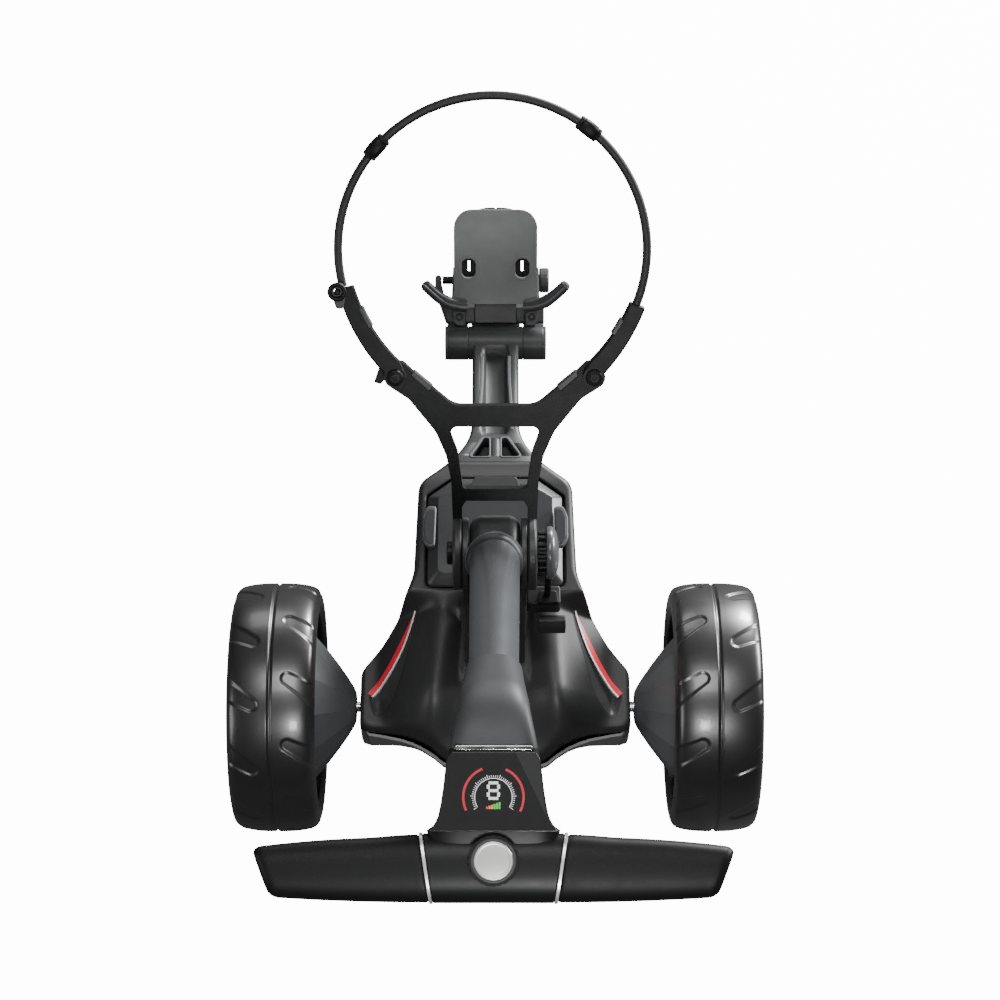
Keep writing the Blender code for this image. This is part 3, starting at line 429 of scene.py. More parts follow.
def oval(centre, wide, thick, across, up, power=2.0, count=48):
    ring = []
    for index in range(count):
        turn = 2 * math.pi * (index + 0.5) / count
        cosine, sine = math.cos(turn), math.sin(turn)
        u = math.copysign(abs(cosine) ** (2 / power), cosine) * wide
        v = math.copysign(abs(sine) ** (2 / power), sine) * thick
        ring.append(Vector(centre) + Vector(across) * u + Vector(up) * v)
    return ring


def ramp(value, low, high):
    part = np.clip((value - low) / (high - low), 0.0, 1.0)
    return part * part * (3 - 2 * part)


# ---------------------------------------------------------------- wheels

NOSE_STEP = 2 * math.pi / 12
INNER_NOSE = math.radians(-3.4)
OUTER_NOSE = math.radians(8.0)
GROOVE_LINE = ((19.5, -8.0), (52.0, -27.0))     # (across, round) from its nose to the tread's edge
GROOVE_DEPTH = 1.5


def groove_depth(turn, along, radius, inward):
    """Depth of the tread's blind grooves at a place on the crown; inward is the side next to the body."""
    depth = np.zeros_like(turn)
    for first, side, lean in ((INNER_NOSE, inward, 1.0), (OUTER_NOSE, -inward, -1.0)):
        arc = (turn - first + NOSE_STEP / 2) % NOSE_STEP - NOSE_STEP / 2
        for shift in (-NOSE_STEP, 0.0, NOSE_STEP):
            s = (arc + shift) * radius * lean
            t = along * side
            (ax, ay), (bx, by) = GROOVE_LINE
            dx, dy = bx - ax, by - ay
            h = np.clip(((t - ax) * dx + (s - ay) * dy) / (dx * dx + dy * dy), 0, 1)
            gap = np.hypot(t - ax - h * dx, s - ay - h * dy) - (8.0 + 4.5 * h)
            depth = np.maximum(depth, GROOVE_DEPTH * np.clip(-gap / 2.6, 0, 1))
    return depth


def tyre_mesh(name, side, crown, rest, scale=1.0, around=840, across=88, groove=2.0):
    """crown gives the radius across the tread; rest is the (radius, along) points of the walls and seat."""
    edge = crown[-1][0]
    t = np.linspace(-edge, edge, across)
    curve = smooth_line(crown, 240)
    base = np.interp(np.abs(t), curve[:, 0], curve[:, 1])
    turn = 2 * math.pi * np.arange(around) / around
    grid_turn, grid_t = np.meshgrid(turn, t)
    radius = np.repeat(base[:, None], around, 1)
    depth = groove_depth(grid_turn, grid_t / scale, radius / scale, -side)
    radius = radius - depth * scale - groove * np.clip((2.4 * scale - np.abs(grid_t)) / (1.2 * scale), 0, 1)
    rows = [np.stack([grid_t, radius * np.sin(grid_turn), radius * np.cos(grid_turn)], -1)]
    for wall_radius, wall_t in rest:
        row = np.stack([np.full(around, wall_t), wall_radius * np.sin(turn), wall_radius * np.cos(turn)],
            -1)
        rows.append(row[None])
    points = np.concatenate(rows).reshape(-1, 3)
    count = across + len(rest)
    mesh = bpy.data.meshes.new(name)
    mesh.from_pydata(points.tolist(), [], grid_faces(count, around, wrap_rows=True))
    return mesh


def rear_wheels():
    crown = [(0, 140.0), (12, 139.9), (22, 139.3), (31, 138.1), (38, 136.4), (42.5, 134.2), (45.2, 131.4),
        (46.6, 128.2)]
    rest = [(124, 47.6), (118, 48.2), (114, 47.2), (112, 44), (112, -44), (114, -47.2), (118, -48.2),
        (124, -47.6)]
    for side, name in SIDES:
        centre = at((side * WHEEL_CENTRE, 0, 140))
        body = f"rear_wheel_{name}"
        show(f"tread_{name}", tyre_mesh(f"tread_{name}", side, crown, rest), body, "tyre",
            [f"rear_tyre_{name}"], centre, smooth=None)
        rim = [(111.6, 43.5), (111.6, -44.5), (110.4, -45.6), (107.5, -45.6), (106, -44), (104.5, -20),
            (103.5, 12), (96, 15), (62, 19), (22, 20), (6.5, 20), (6.5, 27), (20, 36), (24, 36.3),
            (27, 33), (60, 29.5), (98, 26), (104, 28), (106.5, 38), (107, 44)]
        turned(f"rim_{name}", rim, 120, body, "rim", [f"rear_rim_{name}"], centre, bevel=0.8, side=side)
        cone = [(102, 8), (103, -12), (101, -21), (79, -42.3), (63, -56.4), (46, -69.3), (33, -78.4),
            (22.5, -84.9), (17.5, -87.2), (13.5, -87.7), (6.6, -87.7), (6.6, 8)]
        turned(f"cone_{name}", cone, 12, body, "grey", [f"wheel_cone_{name}"], centre, smooth=14,
            bevel=0.9, segments=2, side=side, start=math.radians(-26))


def front_wheel():
    crown = [(0, 90.0), (8, 89.9), (15, 89.2), (20, 88), (25, 85.6), (28, 82.6), (29.4, 79)]
    rest = [(75, 29.6), (69, 27), (66, 22), (66, -22), (69, -27), (75, -29.6)]
    centre = at(FRONT_AXLE)
    show("tread_front", tyre_mesh("tread_front", 1, crown, rest, 0.62, 560, 60, 1.4), "front_wheel",
        "tyre", ["front_tyre"], centre, smooth=None)


# ---------------------------------------------------------------- body

COVER_EDGE = ((52, 262, 8), (87, 232, 26), (91, 122, 60), (99, 98, 60), (123, 60, 60), (150.5, 26, 14),
    (151, -43, 12), (128, -47, 40), (99, -53, 60), (76, -64, 60), (50, -86, 30))
BAY_EDGE = ((48, 238, 4), (78, 214.5, 7), (78, 102, 9))
SCALLOP = ((86, 84), (92, 56), (98.5, 35), (104, 14), (110.5, -6), (119, -20), (128, -26.5), (136, -23),
    (140.5, -8))
SEAM = 172.3
LOWEST_TOP = 186.0
BATTERY_TOP = 257.0
LATCH_PLACE = (62, 168)


def stripe_line(part):
    """The middle of the bright stripe, from its front point to its blunt rear end."""
    part = np.asarray(part, float)
    return np.stack([89.5 + 34 * part + 16 * part ** 3, 83 - 86 * part], -1)


def cover_height(x, y):
    across = np.abs(x)
    bay = ramp(y, 79, 101)
    deck = 247 - 6 * ramp(y, 225, 262)
    wing = 229 - 46 * ramp(across, 66, 150) - 12 * ramp(across, 118, 146)
    crest = 57 + 13 * ramp(78 - y, 0, 140)
    wing = wing + 14 * np.exp(-((across - crest) / 23) ** 2) * (1 - ramp(-y, 25, 95))
    wing = wing - 42 * ramp(-y, 8, 92)
    foot = (1 - ramp(across, 34, 43)) * ramp(y, -12, 14)
    wing = wing + (235.5 - wing) * foot
    height = wing + (deck - wing) * bay
    return 0.5 * (height + LOWEST_TOP + np.sqrt((height - LOWEST_TOP) ** 2 + 36))


def gap_to_line(x, y, line):
    """Distance from places to a chain of points."""
    best = np.full(np.shape(x), 1e9)
    for (ax, ay), (bx, by) in zip(line[:-1], line[1:]):
        dx, dy = bx - ax, by - ay
        h = np.clip(((x - ax) * dx + (y - ay) * dy) / (dx * dx + dy * dy), 0, 1)
        best = np.minimum(best, np.hypot(x - ax - h * dx, y - ay - h * dy))
    return best


def inside(x, y, ring):
    within = np.zeros(np.shape(x), bool)
    for (ax, ay), (bx, by) in zip(ring, ring[1:] + ring[:1]):
        crosses = (ay > y) != (by > y)
        within ^= crosses & (x < (bx - ax) * (y - ay) / (by - ay + 1e-12) + ax)
    return within


def smooth_line(points, count):
    """A Catmull-Rom curve through points."""
    points = np.asarray(points, float)
    padded = np.vstack([2 * points[0] - points[1], points, 2 * points[-1] - points[-2]])
    spans = len(points) - 1
    made = []
    for value in np.linspace(0, spans, count):
        span = min(int(value), spans - 1)
        t = value - span
        a, b, c, d = padded[span:span + 4]
        made.append(0.5 * (2 * b + (c - a) * t + (2 * a - 5 * b + 4 * c - d) * t * t + (3 * b - a - 3 * c
            + d) * t ** 3))
    return np.array(made)


def scallop_depth(x, y):
    across = np.abs(x)
    rim = smooth_line(SCALLOP, 60)
    stripe = stripe_line(np.linspace(1, 0, 30))
    ring = [tuple(point) for point in np.vstack([rim, stripe])]
    depth = 5.5 * np.clip(gap_to_line(across, y, rim) / 13, 0, 1) ** 0.85
    return np.where(inside(across, y, ring), depth, 0.0)


def ray_hits(ring, centre, angles):
    """Where rays from a centre cross a closed outline."""
    found = []
    ring = np.asarray(ring, float)
    start, end = ring, np.roll(ring, -1, 0)
    for angle in angles:
        direction = np.array([math.sin(angle), math.cos(angle)])
        normal = np.array([direction[1], -direction[0]])
        a, b = (start - centre) @ normal, (end - centre) @ normal
        share = a / np.where(np.abs(a - b) < 1e-9, 1e-9, a - b)
        place = start + share[:, None] * (end - start)
        along = (place - centre) @ direction
        good = (share >= 0) & (share <= 1) & (along > 0)
        found.append(place[good][np.argmax(along[good])])
    return np.array(found)


def cover():
    around, rings = 960, 74
    centre = np.array([0.0, 160.0])
    angles = 2 * np.pi * (np.arange(around) + 0.5) / around
    right = corner_arcs([(0, 262, 0), *COVER_EDGE, (0, -86, 0)], 10)[1:-1]
    outer = ray_hits(mirrored(right), centre, angles)
    outer[:, 1] += 7 * ramp(-outer[:, 1], 30, 60)
    inner = ray_hits(corner_arcs(mirrored(BAY_EDGE), 8), centre, angles)
    fillet = 8.0
    rows = []

    def row(place, height):
        rows.append(np.column_stack([place, np.broadcast_to(height, around)]))

    row(inner, 236.0)
    for part in np.linspace(0, 1, rings) ** 0.92:
        place = inner + (outer - inner) * part
        height = cover_height(*place.T) - scallop_depth(*place.T)
        edge = np.hypot(*(outer - place).T)
        short = np.clip(fillet - edge, 0, fillet)
        height = height - (fillet - np.sqrt(fillet ** 2 - short ** 2))
        lip = np.clip(1.6 - np.hypot(*(place - inner).T), 0, 1.6)
        row(place, height - lip * 0.5)
    row(outer, SEAM + 1.2)
    row(centre + (outer - centre) * 0.994, SEAM)
    row(centre + (outer - centre) * 0.975, SEAM)
    for part in np.linspace(1, 0, 14):
        place = inner + (centre + (outer - centre) * 0.975 - inner) * part
        row(place, np.maximum(cover_height(*place.T) - 9.0, SEAM + 2))
    mesh = mesh_of("cover_shell", np.concatenate(rows), grid_faces(len(rows), around, wrap_rows=True))
    show("cover_shell", mesh, "frame", "black", ["body_cover"], smooth=48)
    stripes()
    scallops()


def ribbon(name, side, parts, near, far, low, high, paint, replaces=()):
    """A strip beside the stripe's middle line, between two offsets towards the wing's tip."""
    rings = []
    middle = stripe_line(parts)
    along = np.gradient(middle, axis=0)
    along /= np.linalg.norm(along, axis=1)[:, None]
    away = np.stack([-along[:, 1], along[:, 0]], -1)
    for (x, y), (ux, uy), a, b in zip(middle, away, near, far):
        ring = []
        for step_out, lift in ((a, low), (a, high), (b, high), (b, low)):
            px, py = x + ux * step_out, y + uy * step_out
            ring.append((side * px, py, float(cover_height(px, py)) + lift))
        rings.append(ring)
    loft(name, rings, "frame", paint, replaces, bevel=0.35, segments=2)


def scallops():
    """The hollow beside each stripe, covered by a skin painted lighter than the cover as painted light
    falling in the hollow.
    """
    rim = smooth_line(SCALLOP, 60)
    for side, name in SIDES:
        rings = []
        for part, (rx, ry) in zip(np.linspace(0.03, 1, 60), rim):
            near = stripe_line(part)
            skin = []
            for share in np.linspace(0.04, 0.97, 14):
                x, y = near[0] + (rx - near[0]) * share, near[1] + (ry - near[1]) * share
                skin.append((side * x, y, float(cover_height(x, y) - scallop_depth(np.array(x),
                    np.array(y)))))
            under = [(x, y, z - 0.9) for x, y, z in reversed(skin)]
            rings.append([(x, y, z + 0.35) for x, y, z in skin] + under)
        loft(f"scallop_{name}", rings, "frame", "dark")


def stripes():
    parts = np.linspace(0.0, 1.0, 60)
    half = 0.25 + 3.3 * np.minimum(1, parts / 0.45) ** 0.75
    for side, name in SIDES:
        ribbon(f"inlay_{name}", side, parts, -half + 1.3, half, -4.5, 0.9, "red", [f"stripe_{name}"])
        ribbon(f"inlay_line_{name}", side, parts, -half - 0.5, -half + 1.25, -6.0, 1.0, "white")


def battery():
    corners = [(46, 236, 3), (76, 213, 5), (76, 104, 6)]

    def ring(grow, height):
        right = [(x + grow * (0.6 if index == 0 else 1), y + grow * (1, 0.4, -1)[index], max(r, 1.5))
            for index, (x, y, r) in enumerate(corners)]
        outline = corner_arcs(mirrored(right), 5)
        return [(x, y, height) for x, y in outline]

    levels = ((-2, 144), (0, 150), (0, BATTERY_TOP - 13), (-1.2, BATTERY_TOP - 10.5),
        (-11.5, BATTERY_TOP - 0.6), (-12.2, BATTERY_TOP - 0.2), (-24, BATTERY_TOP))
    loft("pack_shell", [ring(*level) for level in levels], "battery", "pale", ["battery_pack"], smooth=20,
        bevel=0.5, segments=2)
    panel = [(24, 232, 3), (30, 214, 3), (-30, 214, 3), (-24, 232, 3)]
    plate("pack_panel", [corner_arcs(panel, 4)], BATTERY_TOP - 1, BATTERY_TOP + 0.9, "battery", "pale",
        bevel=0.8)
    for side, name in SIDES:
        corners_out = [(3.5, 26, 3.5), (14.5, 26, 5), (19.4, 13, 9), (19.4, -13, 9), (13, -26, 6),
            (5, -21.5, 4)]
        shape = sided(side, corners_out, 6)
        place = at((side * LATCH_PLACE[0], LATCH_PLACE[1], BATTERY_TOP + 0.5))
        plate(f"latch_{name}", [shape], 0.1, 6.4, f"latch_{name}", "grey", [f"battery_latch_{name}"],
            place, bevel=2.0, segments=4, slot="dark_plastic")
        inner = sided(side, [(x * 0.74 + 2.2, y * 0.84, max(1.5, r * 0.7)) for x, y, r in corners_out], 6)
        plate(f"latch_pad_{name}", [inner], 6.0, 7.3, f"latch_{name}", "pale",
            matrix=place, bevel=0.6, segments=2)


# ---------------------------------------------------------------- front arm, plate and lower arms

def front_arm():
    stations = smooth_line([(262.5, 50.5, 169, 234.5), (271, 46, 166, 231.5), (281, 40, 163, 228.5),
        (293, 33.5, 160, 224.5), (308, 28.8, 158, 220), (326, 27.3, 156, 215), (380, 27.3, 151, 200.5),
        (437, 27.3, 153, 187)], 70)
    rings = []
    for y, half, low, high in stations:
        open_part = float(ramp(y, 300, 312) * (1 - ramp(y, 424, 434)))
        deep = 11.5 * open_part
        channel = 13.5
        right = [(0, high - deep), (channel - 4, high - deep), (channel - 1.0, high - deep * 0.85),
            (channel + 1.6, high - deep * 0.12), (channel + 3.2, high), (half - 4, high),
            (half - 1, high - 1.4), (half, high - 4.5), (half, low + 6), (half - 2, low + 1.5),
            (half - 6, low), (0, low)]
        rings.append([(x, y, z) for x, z in mirrored(right)])
    arm = loft("arm_beam", rings, "frame", "dark", ["front_arm"], smooth=50)
    for side, name in SIDES:
        hole = [(7.3, 270, 2.5), (28.5, 270, 2.5), (13, 297, 3), (7.3, 297, 2.5)]
        shape = sided(side, hole, 5)
        wide = sided(side, [(5.2 if x < 10 else x + 2.6 + (y < 280), y + (2.2 if y > 280 else -2.0),
            r + 1.2) for x, y, r in hole], 5)
        cutter_mesh = plate_mesh(f"arm_window_cut_{name}", [shape], 200, 260)
        cutter_mesh.transform(TROLLEY @ Matrix.Scale(MM, 4))
        cutter = add(f"arm_window_cut_{name}", cutter_mesh)
        step = arm.modifiers.new("window", "BOOLEAN")
        step.operation = "DIFFERENCE"
        step.object = cutter
        apply_modifiers(arm)
        bpy.data.objects.remove(cutter)
        rim = plate_mesh(f"window_rim_{name}", [wide, shape], -1.0, 1.0)
        for vertex in rim.vertices:
            vertex.co.z += float(np.interp(vertex.co.y, stations[:, 0], stations[:, 3])) - 0.2
        show(f"window_rim_{name}", rim, "frame", "grey", bevel=0.6, segments=2)
    turned("barrel_middle", rounded_rod(20, -32.3, 32.3, 0.5), 96, "frame", "dark", matrix=at(BARREL))
    turned("barrel_pin", [(0, -34), (18.6, -34), (18.6, 34), (0, 34)], 64, "frame", "deep",
        matrix=at(BARREL))
    for side, name in SIDES:
        # grey strips painted along the lips of the channel: a painted highlight on the channel's edges
        highlight_strip = [(13.2, 9), (14.6, 10.6), (17.4, 10.6), (18.2, 9)]
        rings = []
        for y, half, low, high in stations:
            if 309 < y < 424:
                flare = 3.5 * float(1 - ramp(y, 309, 400))
                rings.append([(side * (x + flare), y, high - 10.1 + z) for x, z in highlight_strip])
        loft(f"arm_edge_highlight_{name}", rings, "frame", "grey", bevel=0.4, segments=2)
        profile = rounded_rod(20.2, 32.7, 60, 0.5, 5.0)
        turned(f"barrel_end_{name}", profile, 96, "front_fold", "dark", matrix=at(BARREL), side=side)


def rounded_rod(radius, start, end, near=1.0, far=None, steps=6):
    """The profile of a rod with rounded ends, to be turned."""
    far = near if far is None else far
    turns = [math.pi / 2 * step / steps for step in range(steps + 1)]
    ends = [(radius - near * (1 - math.sin(turn)), start + near * (1 - math.cos(turn))) for turn in turns]
    ends += [(radius - far * (1 - math.cos(turn)), end - far * (1 - math.sin(turn))) for turn in turns]
    return [(0.0, start), *ends, (0.0, end)]


def apply_modifiers(obj):
    graph = bpy.context.evaluated_depsgraph_get()
    mesh = bpy.data.meshes.new_from_object(obj.evaluated_get(graph))
    obj.modifiers.clear()
    obj.data = mesh


def swept(name, spine, wide, thick, power=3.0, count=32, steps=40):
    """A bar along a smooth spine in the plate's frame, with its width and thickness easing between values."""
    line = smooth_line(spine, steps)
    rings = []
    for index, place in enumerate(line):
        along = Vector(line[min(index + 1, steps - 1)] - line[max(index - 1, 0)]).normalized()
        away = along.cross(UP).normalized()
        up = away.cross(along)
        part = index / (steps - 1)
        tip = min(1.0, 0.45 + 4.5 * min(part, 1 - part) ** 0.75 * 1.6)
        w = float(np.interp(part, np.linspace(0, 1, len(wide)), wide)) * tip
        h = float(np.interp(part, np.linspace(0, 1, len(thick)), thick)) * tip
        rings.append(oval(place, w, h, away, up, power, count))
    return loft_mesh(name, rings)


def foot_plate():
    corners = [(0, 117, 0), (40, 117, 20), (49.5, 101, 22), (49.5, 4.4, 4), (0, 4.4, 0)]
    slots = [box(23.5, 40, 36, 59, 7, 8, side) for side, _ in SIDES]
    plate("foot_plate", [corner_arcs(mirrored(corners), 10), *slots], 0.05, 4.95, "front_fold", "plate",
        ["bag_base_plate"], PLATE, bevel=1.3)
    spine = ((33, 3, 12.5), (44, 4.5, 13.5), (58, 9, 15.5), (71, 19, 19.5), (84.5, 33.5, 27.5))
    ear = ((35.4, 3.4, 2), (50.6, 3.4, 2), (50.6, -17, 8), (46, -21, 4), (35.4, -21, 2))
    for side, name in SIDES:
        rim = [box(20.8, 42.7, 33.2, 61.8, 9, 8, side), box(23.2, 40.3, 35.7, 59.3, 7.2, 8, side)]
        plate(f"slot_rim_{name}", rim, 4.3, 5.7, "front_fold", "plate", matrix=PLATE, bevel=0.6, segments=2)
        across = sorted((side * 24, side * 39))
        for row, *along in (("rear", 30, 41), ("front", 53.5, 64)):
            plate(f"fork_bridge_{row}_{name}", [box(*across, *along, 1, 2)], -13.5, -10, "front_fold",
                "deep", matrix=PLATE, bevel=0.6, segments=2)
        for part, low, high in (("inner", 19, 30.2), ("outer", 33.0, 46)):
            plate(f"fork_web_{part}_{name}", [box(low, high, 6, 66, 2, 3, side)], -14, -9.5, "front_fold",
                "deep", matrix=PLATE, bevel=0.8, segments=2)
        line = [(side * x, y, z) for x, y, z in spine]
        bar = swept(f"lower_bar_{name}", line, (6.5, 7.0, 7.2, 6.6, 6.2), (5.6, 6.6, 6.8, 6.4, 5.6))
        show(f"lower_bar_{name}", bar, "front_fold", "dark", [f"lower_arm_{name}"], PLATE)
        ridge = swept(f"lower_bar_ridge_{name}", [(x, y - 0.6, z + 5.4) for x, y, z in line],
            (2.0, 2.2, 2.2, 1.8), (1.5, 1.9, 1.9, 1.5), 2.0, 16)
        show(f"lower_bar_ridge_{name}", ridge, "front_fold", "grey", matrix=PLATE)
        plate(f"lower_ear_{name}", [sided(side, ear, 6)], -8.7, 12.8, "front_fold", "dark", matrix=PLATE,
            bevel=1.6)
        turned(f"axle_spacer_{name}", [(5.2, 38), (9.5, 38), (9.5, 52.6), (5.2, 52.6)], 48, "front_fold",
            "dark", matrix=at(FRONT_AXLE), bevel=0.8, segments=2, side=side)
        place = PLATE @ Matrix.Translation(Vector((side * 43, -9.5, 12.6)) * MM)
        plate(f"ear_screw_{name}", [circle(4.6, 32), circle(2.208, 6)], 0, 1.6, "front_fold", "deep",
            matrix=place, bevel=0.5, segments=2)


# ---------------------------------------------------------------- hinge, cradle and strap

LOOP_CENTRE = (-2.2, 319.8)
LOOP_RADIUS = 154.8
LOOP_HEIGHT = 9.2
STRAP_RADIUS = 4.6
STRAP_START = -20.6
STRAP_END = 193.6
ARM_TIPS = {1: -21.0, -1: -14.0}
ARM_PIVOT = (101, 190.6)
LOOP_TOP = 90.0


def loop_point(angle):
    turn = math.radians(angle)
    return Vector((LOOP_CENTRE[0] + LOOP_RADIUS * math.cos(turn),
        LOOP_CENTRE[1] + LOOP_RADIUS * math.sin(turn), LOOP_HEIGHT))


def cord_half(name, first, last):
    """The cord from an arm to the top of the loop."""
    steps, count = 310, 20
    rings, path = [], []
    for step in range(steps):
        part = step / (steps - 1)
        angle = first + (last - first) * part
        centre = loop_point(angle)
        path.append(CRADLE @ (centre * MM))
        radial = spoke(angle)
        ring = []
        for index in range(count):
            turn = 2 * math.pi * index / count
            weave = 0.13 * math.sin(turn * 4 + part * 450) * math.sin(turn * 4 - part * 450)
            radius = STRAP_RADIUS - 0.12 + weave
            ring.append(centre + radial * (radius * math.cos(turn)) + UP * (radius * math.sin(turn)))
        rings.append(ring)
    cord = loft(name, rings, None, "cord", ["bag_strap"], CRADLE)
    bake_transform(cord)


def strap():
    """One round braided cord, held by the two arms; its two halves meet at the top of the loop."""
    cord_half("bag_cord_right", STRAP_START, LOOP_TOP)
    cord_half("bag_cord_left", STRAP_END, LOOP_TOP)
    for name, angle in (("left", 138.0), ("right", 52.0)):
        rings = []
        half = [(12.2, 0.6), (12.2, 2.0), (11.2, 2.6), (9.6, 2.9), (8.6, 2.2), (7.6, 2.9), (2, 3.2)]
        for reach, grow in [(-reach, grow) for reach, grow in half] + half[::-1]:
            turn = angle + math.degrees(-reach / LOOP_RADIUS)
            size = STRAP_RADIUS + grow
            rings.append(oval(loop_point(turn), size, size, spoke(turn), UP, 2.6, 40))
        loft(f"cord_sleeve_{name}", rings, "cradle", "arm", [f"strap_slider_{name}"], CRADLE, smooth=40)
    hook()


def hook():
    """The toggle that the strap's left end loops over, on the left arm's tip."""
    middle = loop_point(196) + Vector((-6, 0, 15.6 - LOOP_HEIGHT))
    place = CRADLE @ Matrix.Translation(middle * MM) @ Matrix.Rotation(math.radians(-10), 4, "Z")
    outline = corner_arcs([(-9, 3, 7), (-7, 11.5, 7), (5, 11.5, 6), (8, -3, 8), (7.5, -13.5, 3),
        (0, -14, 3), (-4, -6, 8)], 6)
    plate("toggle_plate", [outline, circle(3.4, 32, -1.5, 3)], 0.1, 6.5, "arm_left", "dark",
        ["strap_hook"], place, bevel=1.4)
    torus = []
    for step in range(48):
        out = spoke(360 * step / 48)
        torus.append(oval(Vector((-1.5, 3, 8.0)) + out * 7.4, 2.3, 2.3, out, UP, 2.0, 16))
    ring = mesh_of("toggle_ring", [point for loop in torus for point in loop], grid_faces(48, 16,
        wrap_rows=True))
    show("toggle_ring", ring, "arm_left", "arm", matrix=place)
    turned("toggle_peg", rounded_rod(2.6, 0, 10, 0.6), 32, "arm_left", "arm", matrix=place,
        stands=(-1.5, 3, 0))


def cradle():
    outer = [(0, 158, 0), (42, 158, 24), (64, 177, 14), (84, 194, 6), (94, 204, 5), (112, 197, 8),
        (112, 181, 8), (88, 165, 20), (61, 131, 40), (50, 105, 40), (45, 78, 30), (43.5, 36, 4),
        (43.5, 10, 0), (34, 10, 0), (34, 50, 6), (30, 57, 3), (0, 57, 0)]
    inner = [(0, 136, 0), (48, 136, 7), (38, 108, 20), (33, 70, 4), (0, 70, 0)]
    plate("cradle_plate", [corner_arcs(mirrored(outer), 7), corner_arcs(mirrored(inner), 7)], -9, 3,
        "cradle", "arm", ["cradle_frame"], CRADLE, bevel=3.0, segments=5)
    for side, name in SIDES:
        disc = [(12, 34.1), (36.5, 34.1), (38.6, 35.8), (38.6, 41.0), (37.4, 42.8), (35.2, 43.6),
            (29, 43.6), (27.4, 42.4), (15, 42.4), (13.4, 43.4), (12, 43.4)]
        turned(f"cradle_disc_{name}", disc, 96, "cradle", "dark", matrix=at(HINGE), bevel=0.5, segments=2,
            side=side)
        pad = sided(side, ((62.5, 178.5, 2), (82.5, 195.5, 2), (86, 190, 2), (67, 173, 2)), 5)
        plate(f"cradle_pad_{name}", [pad], -6.0, 4.4, "cradle", "dark", matrix=CRADLE, bevel=1.4,
            segments=3)
        upper_arm(side, name)


def upper_arm(side, name):
    pivot = Vector(ARM_PIVOT)
    place = CRADLE @ Matrix.Translation(Vector((side * pivot.x, pivot.y, 0)) * MM)
    outer, inner, pad_out, pad_in = [], [], [], []
    tip = ARM_TIPS[side]
    centre = Vector((0.0 if side > 0 else 0.5, LOOP_CENTRE[1]))
    for step in range(29):
        part = step / 28
        wide = 8.5 + 1.5 * part
        middle = LOOP_RADIUS - 0.8 + 4.5 * part ** 2
        radial = spoke(tip - (50.0 + tip) * part).to_2d()
        outer.append(centre + radial * (middle + wide))
        inner.append(centre + radial * (middle - wide))
        if 0.22 < part < 0.52:
            pad_out.append(centre + radial * (middle - wide + 3.0))
            pad_in.append(centre + radial * (middle - wide - 2.0))
    eye = [pivot + spoke(angle).to_2d() * 11.5 for angle in range(-45, -190, -10)]

    def flat(points):
        return [(side * (p.x - pivot.x), p.y - pivot.y) for p in points]

    body = f"arm_{name}"
    plate(f"arm_shell_{name}", [flat(outer + eye + inner[::-1])], 3.4, 15.2, body, "arm",
        [f"upper_arm_{name}"], place, bevel=2.6, segments=4)
    plate(f"arm_pad_{name}", [flat(pad_out + pad_in[::-1])], 5.0, 16.2, body, "dark", matrix=place,
        bevel=1.2, segments=3)
    head = [(0, 19), (5.6, 19), (7.6, 18.2), (8.6, 16.6), (8.6, 15.5), (11.2, 15.5), (11.2, 14.2),
        (0, 14.2)]
    turned(f"pivot_head_{name}", head[::-1], 64, "cradle", "arm", [f"arm_pivot_{name}"], place,
        stands=ORIGIN, slot="bright_steel")
    plate(f"pivot_socket_{name}", [circle(4.4, 32), circle(2.5, 6)], 18.6, 20.2, "cradle", "deep",
        matrix=place, bevel=0.4, segments=2)
    if side < 0:
        lever = sided(side, ((8, 12, 3), (17, 8, 3), (22, -7, 2), (15, -9, 2), (7, 0, 4)), 5)
        plate("arm_clip", [lever], 4.5, 8.5, body, "arm", matrix=place, bevel=1.2)


def hinge():
    """Pedestal, socket dome, clamp knob and shaft lock."""
    column = [(14, 238.8, 5), (72, 238.8, 5), (97, 251, 5), (99, 389, 12), (26, 389, 18)]
    shape = [(z, y) for y, z in corner_arcs(column, 8)]
    plate("pedestal_column", [shape], -33.4, 33.4, "frame", "dark", ["hinge_pedestal"], TROLLEY @ ON_SIDE,
        bevel=3.5, segments=5)
    for side, name in SIDES:
        low, high = sorted((-side * 27.1, -side * 33.5))
        ear = [(HINGE.z + 37 * math.sin(turn), HINGE.y + 37 * math.cos(turn))
            for turn in (math.radians(-20 + 220 * step / 60) for step in range(61))]
        ear += [(350, 24), (350, 97)]
        plate(f"pedestal_cheek_{name}", [ear], low, high, "frame", "dark", matrix=TROLLEY @ ON_SIDE,
            bevel=1.3, segments=3)
    dome = rounded_rod(39, -26.2, 26.2, 13.0, steps=12)
    turned("socket_dome", dome, 128, "shaft", "dark", ["shaft_socket"], at(HINGE))
    collar = [(0, 20), (29.4, 20), (29.8, 36), (29.2, 44.4), (27.8, 46.6), (26.2, 47.9), (0, 47.9)]
    turned("socket_collar", collar, 96, "shaft", "dark", matrix=SHAFT, stands=ORIGIN)
    line = [(29.9, 35.2), (30.5, 35.6), (30.5, 36.8), (29.9, 37.2), (29.0, 36.2)]
    turned("socket_line", line, 96, "shaft", "grey", matrix=SHAFT, stands=ORIGIN)
    plate("pedestal_bar", [box(-32, 32, -7, 7, 5, 6)], -3.5, 3.5, "frame", "dark",
        matrix=tilted((0, 104, 392), 20), bevel=1.5)
    knob()


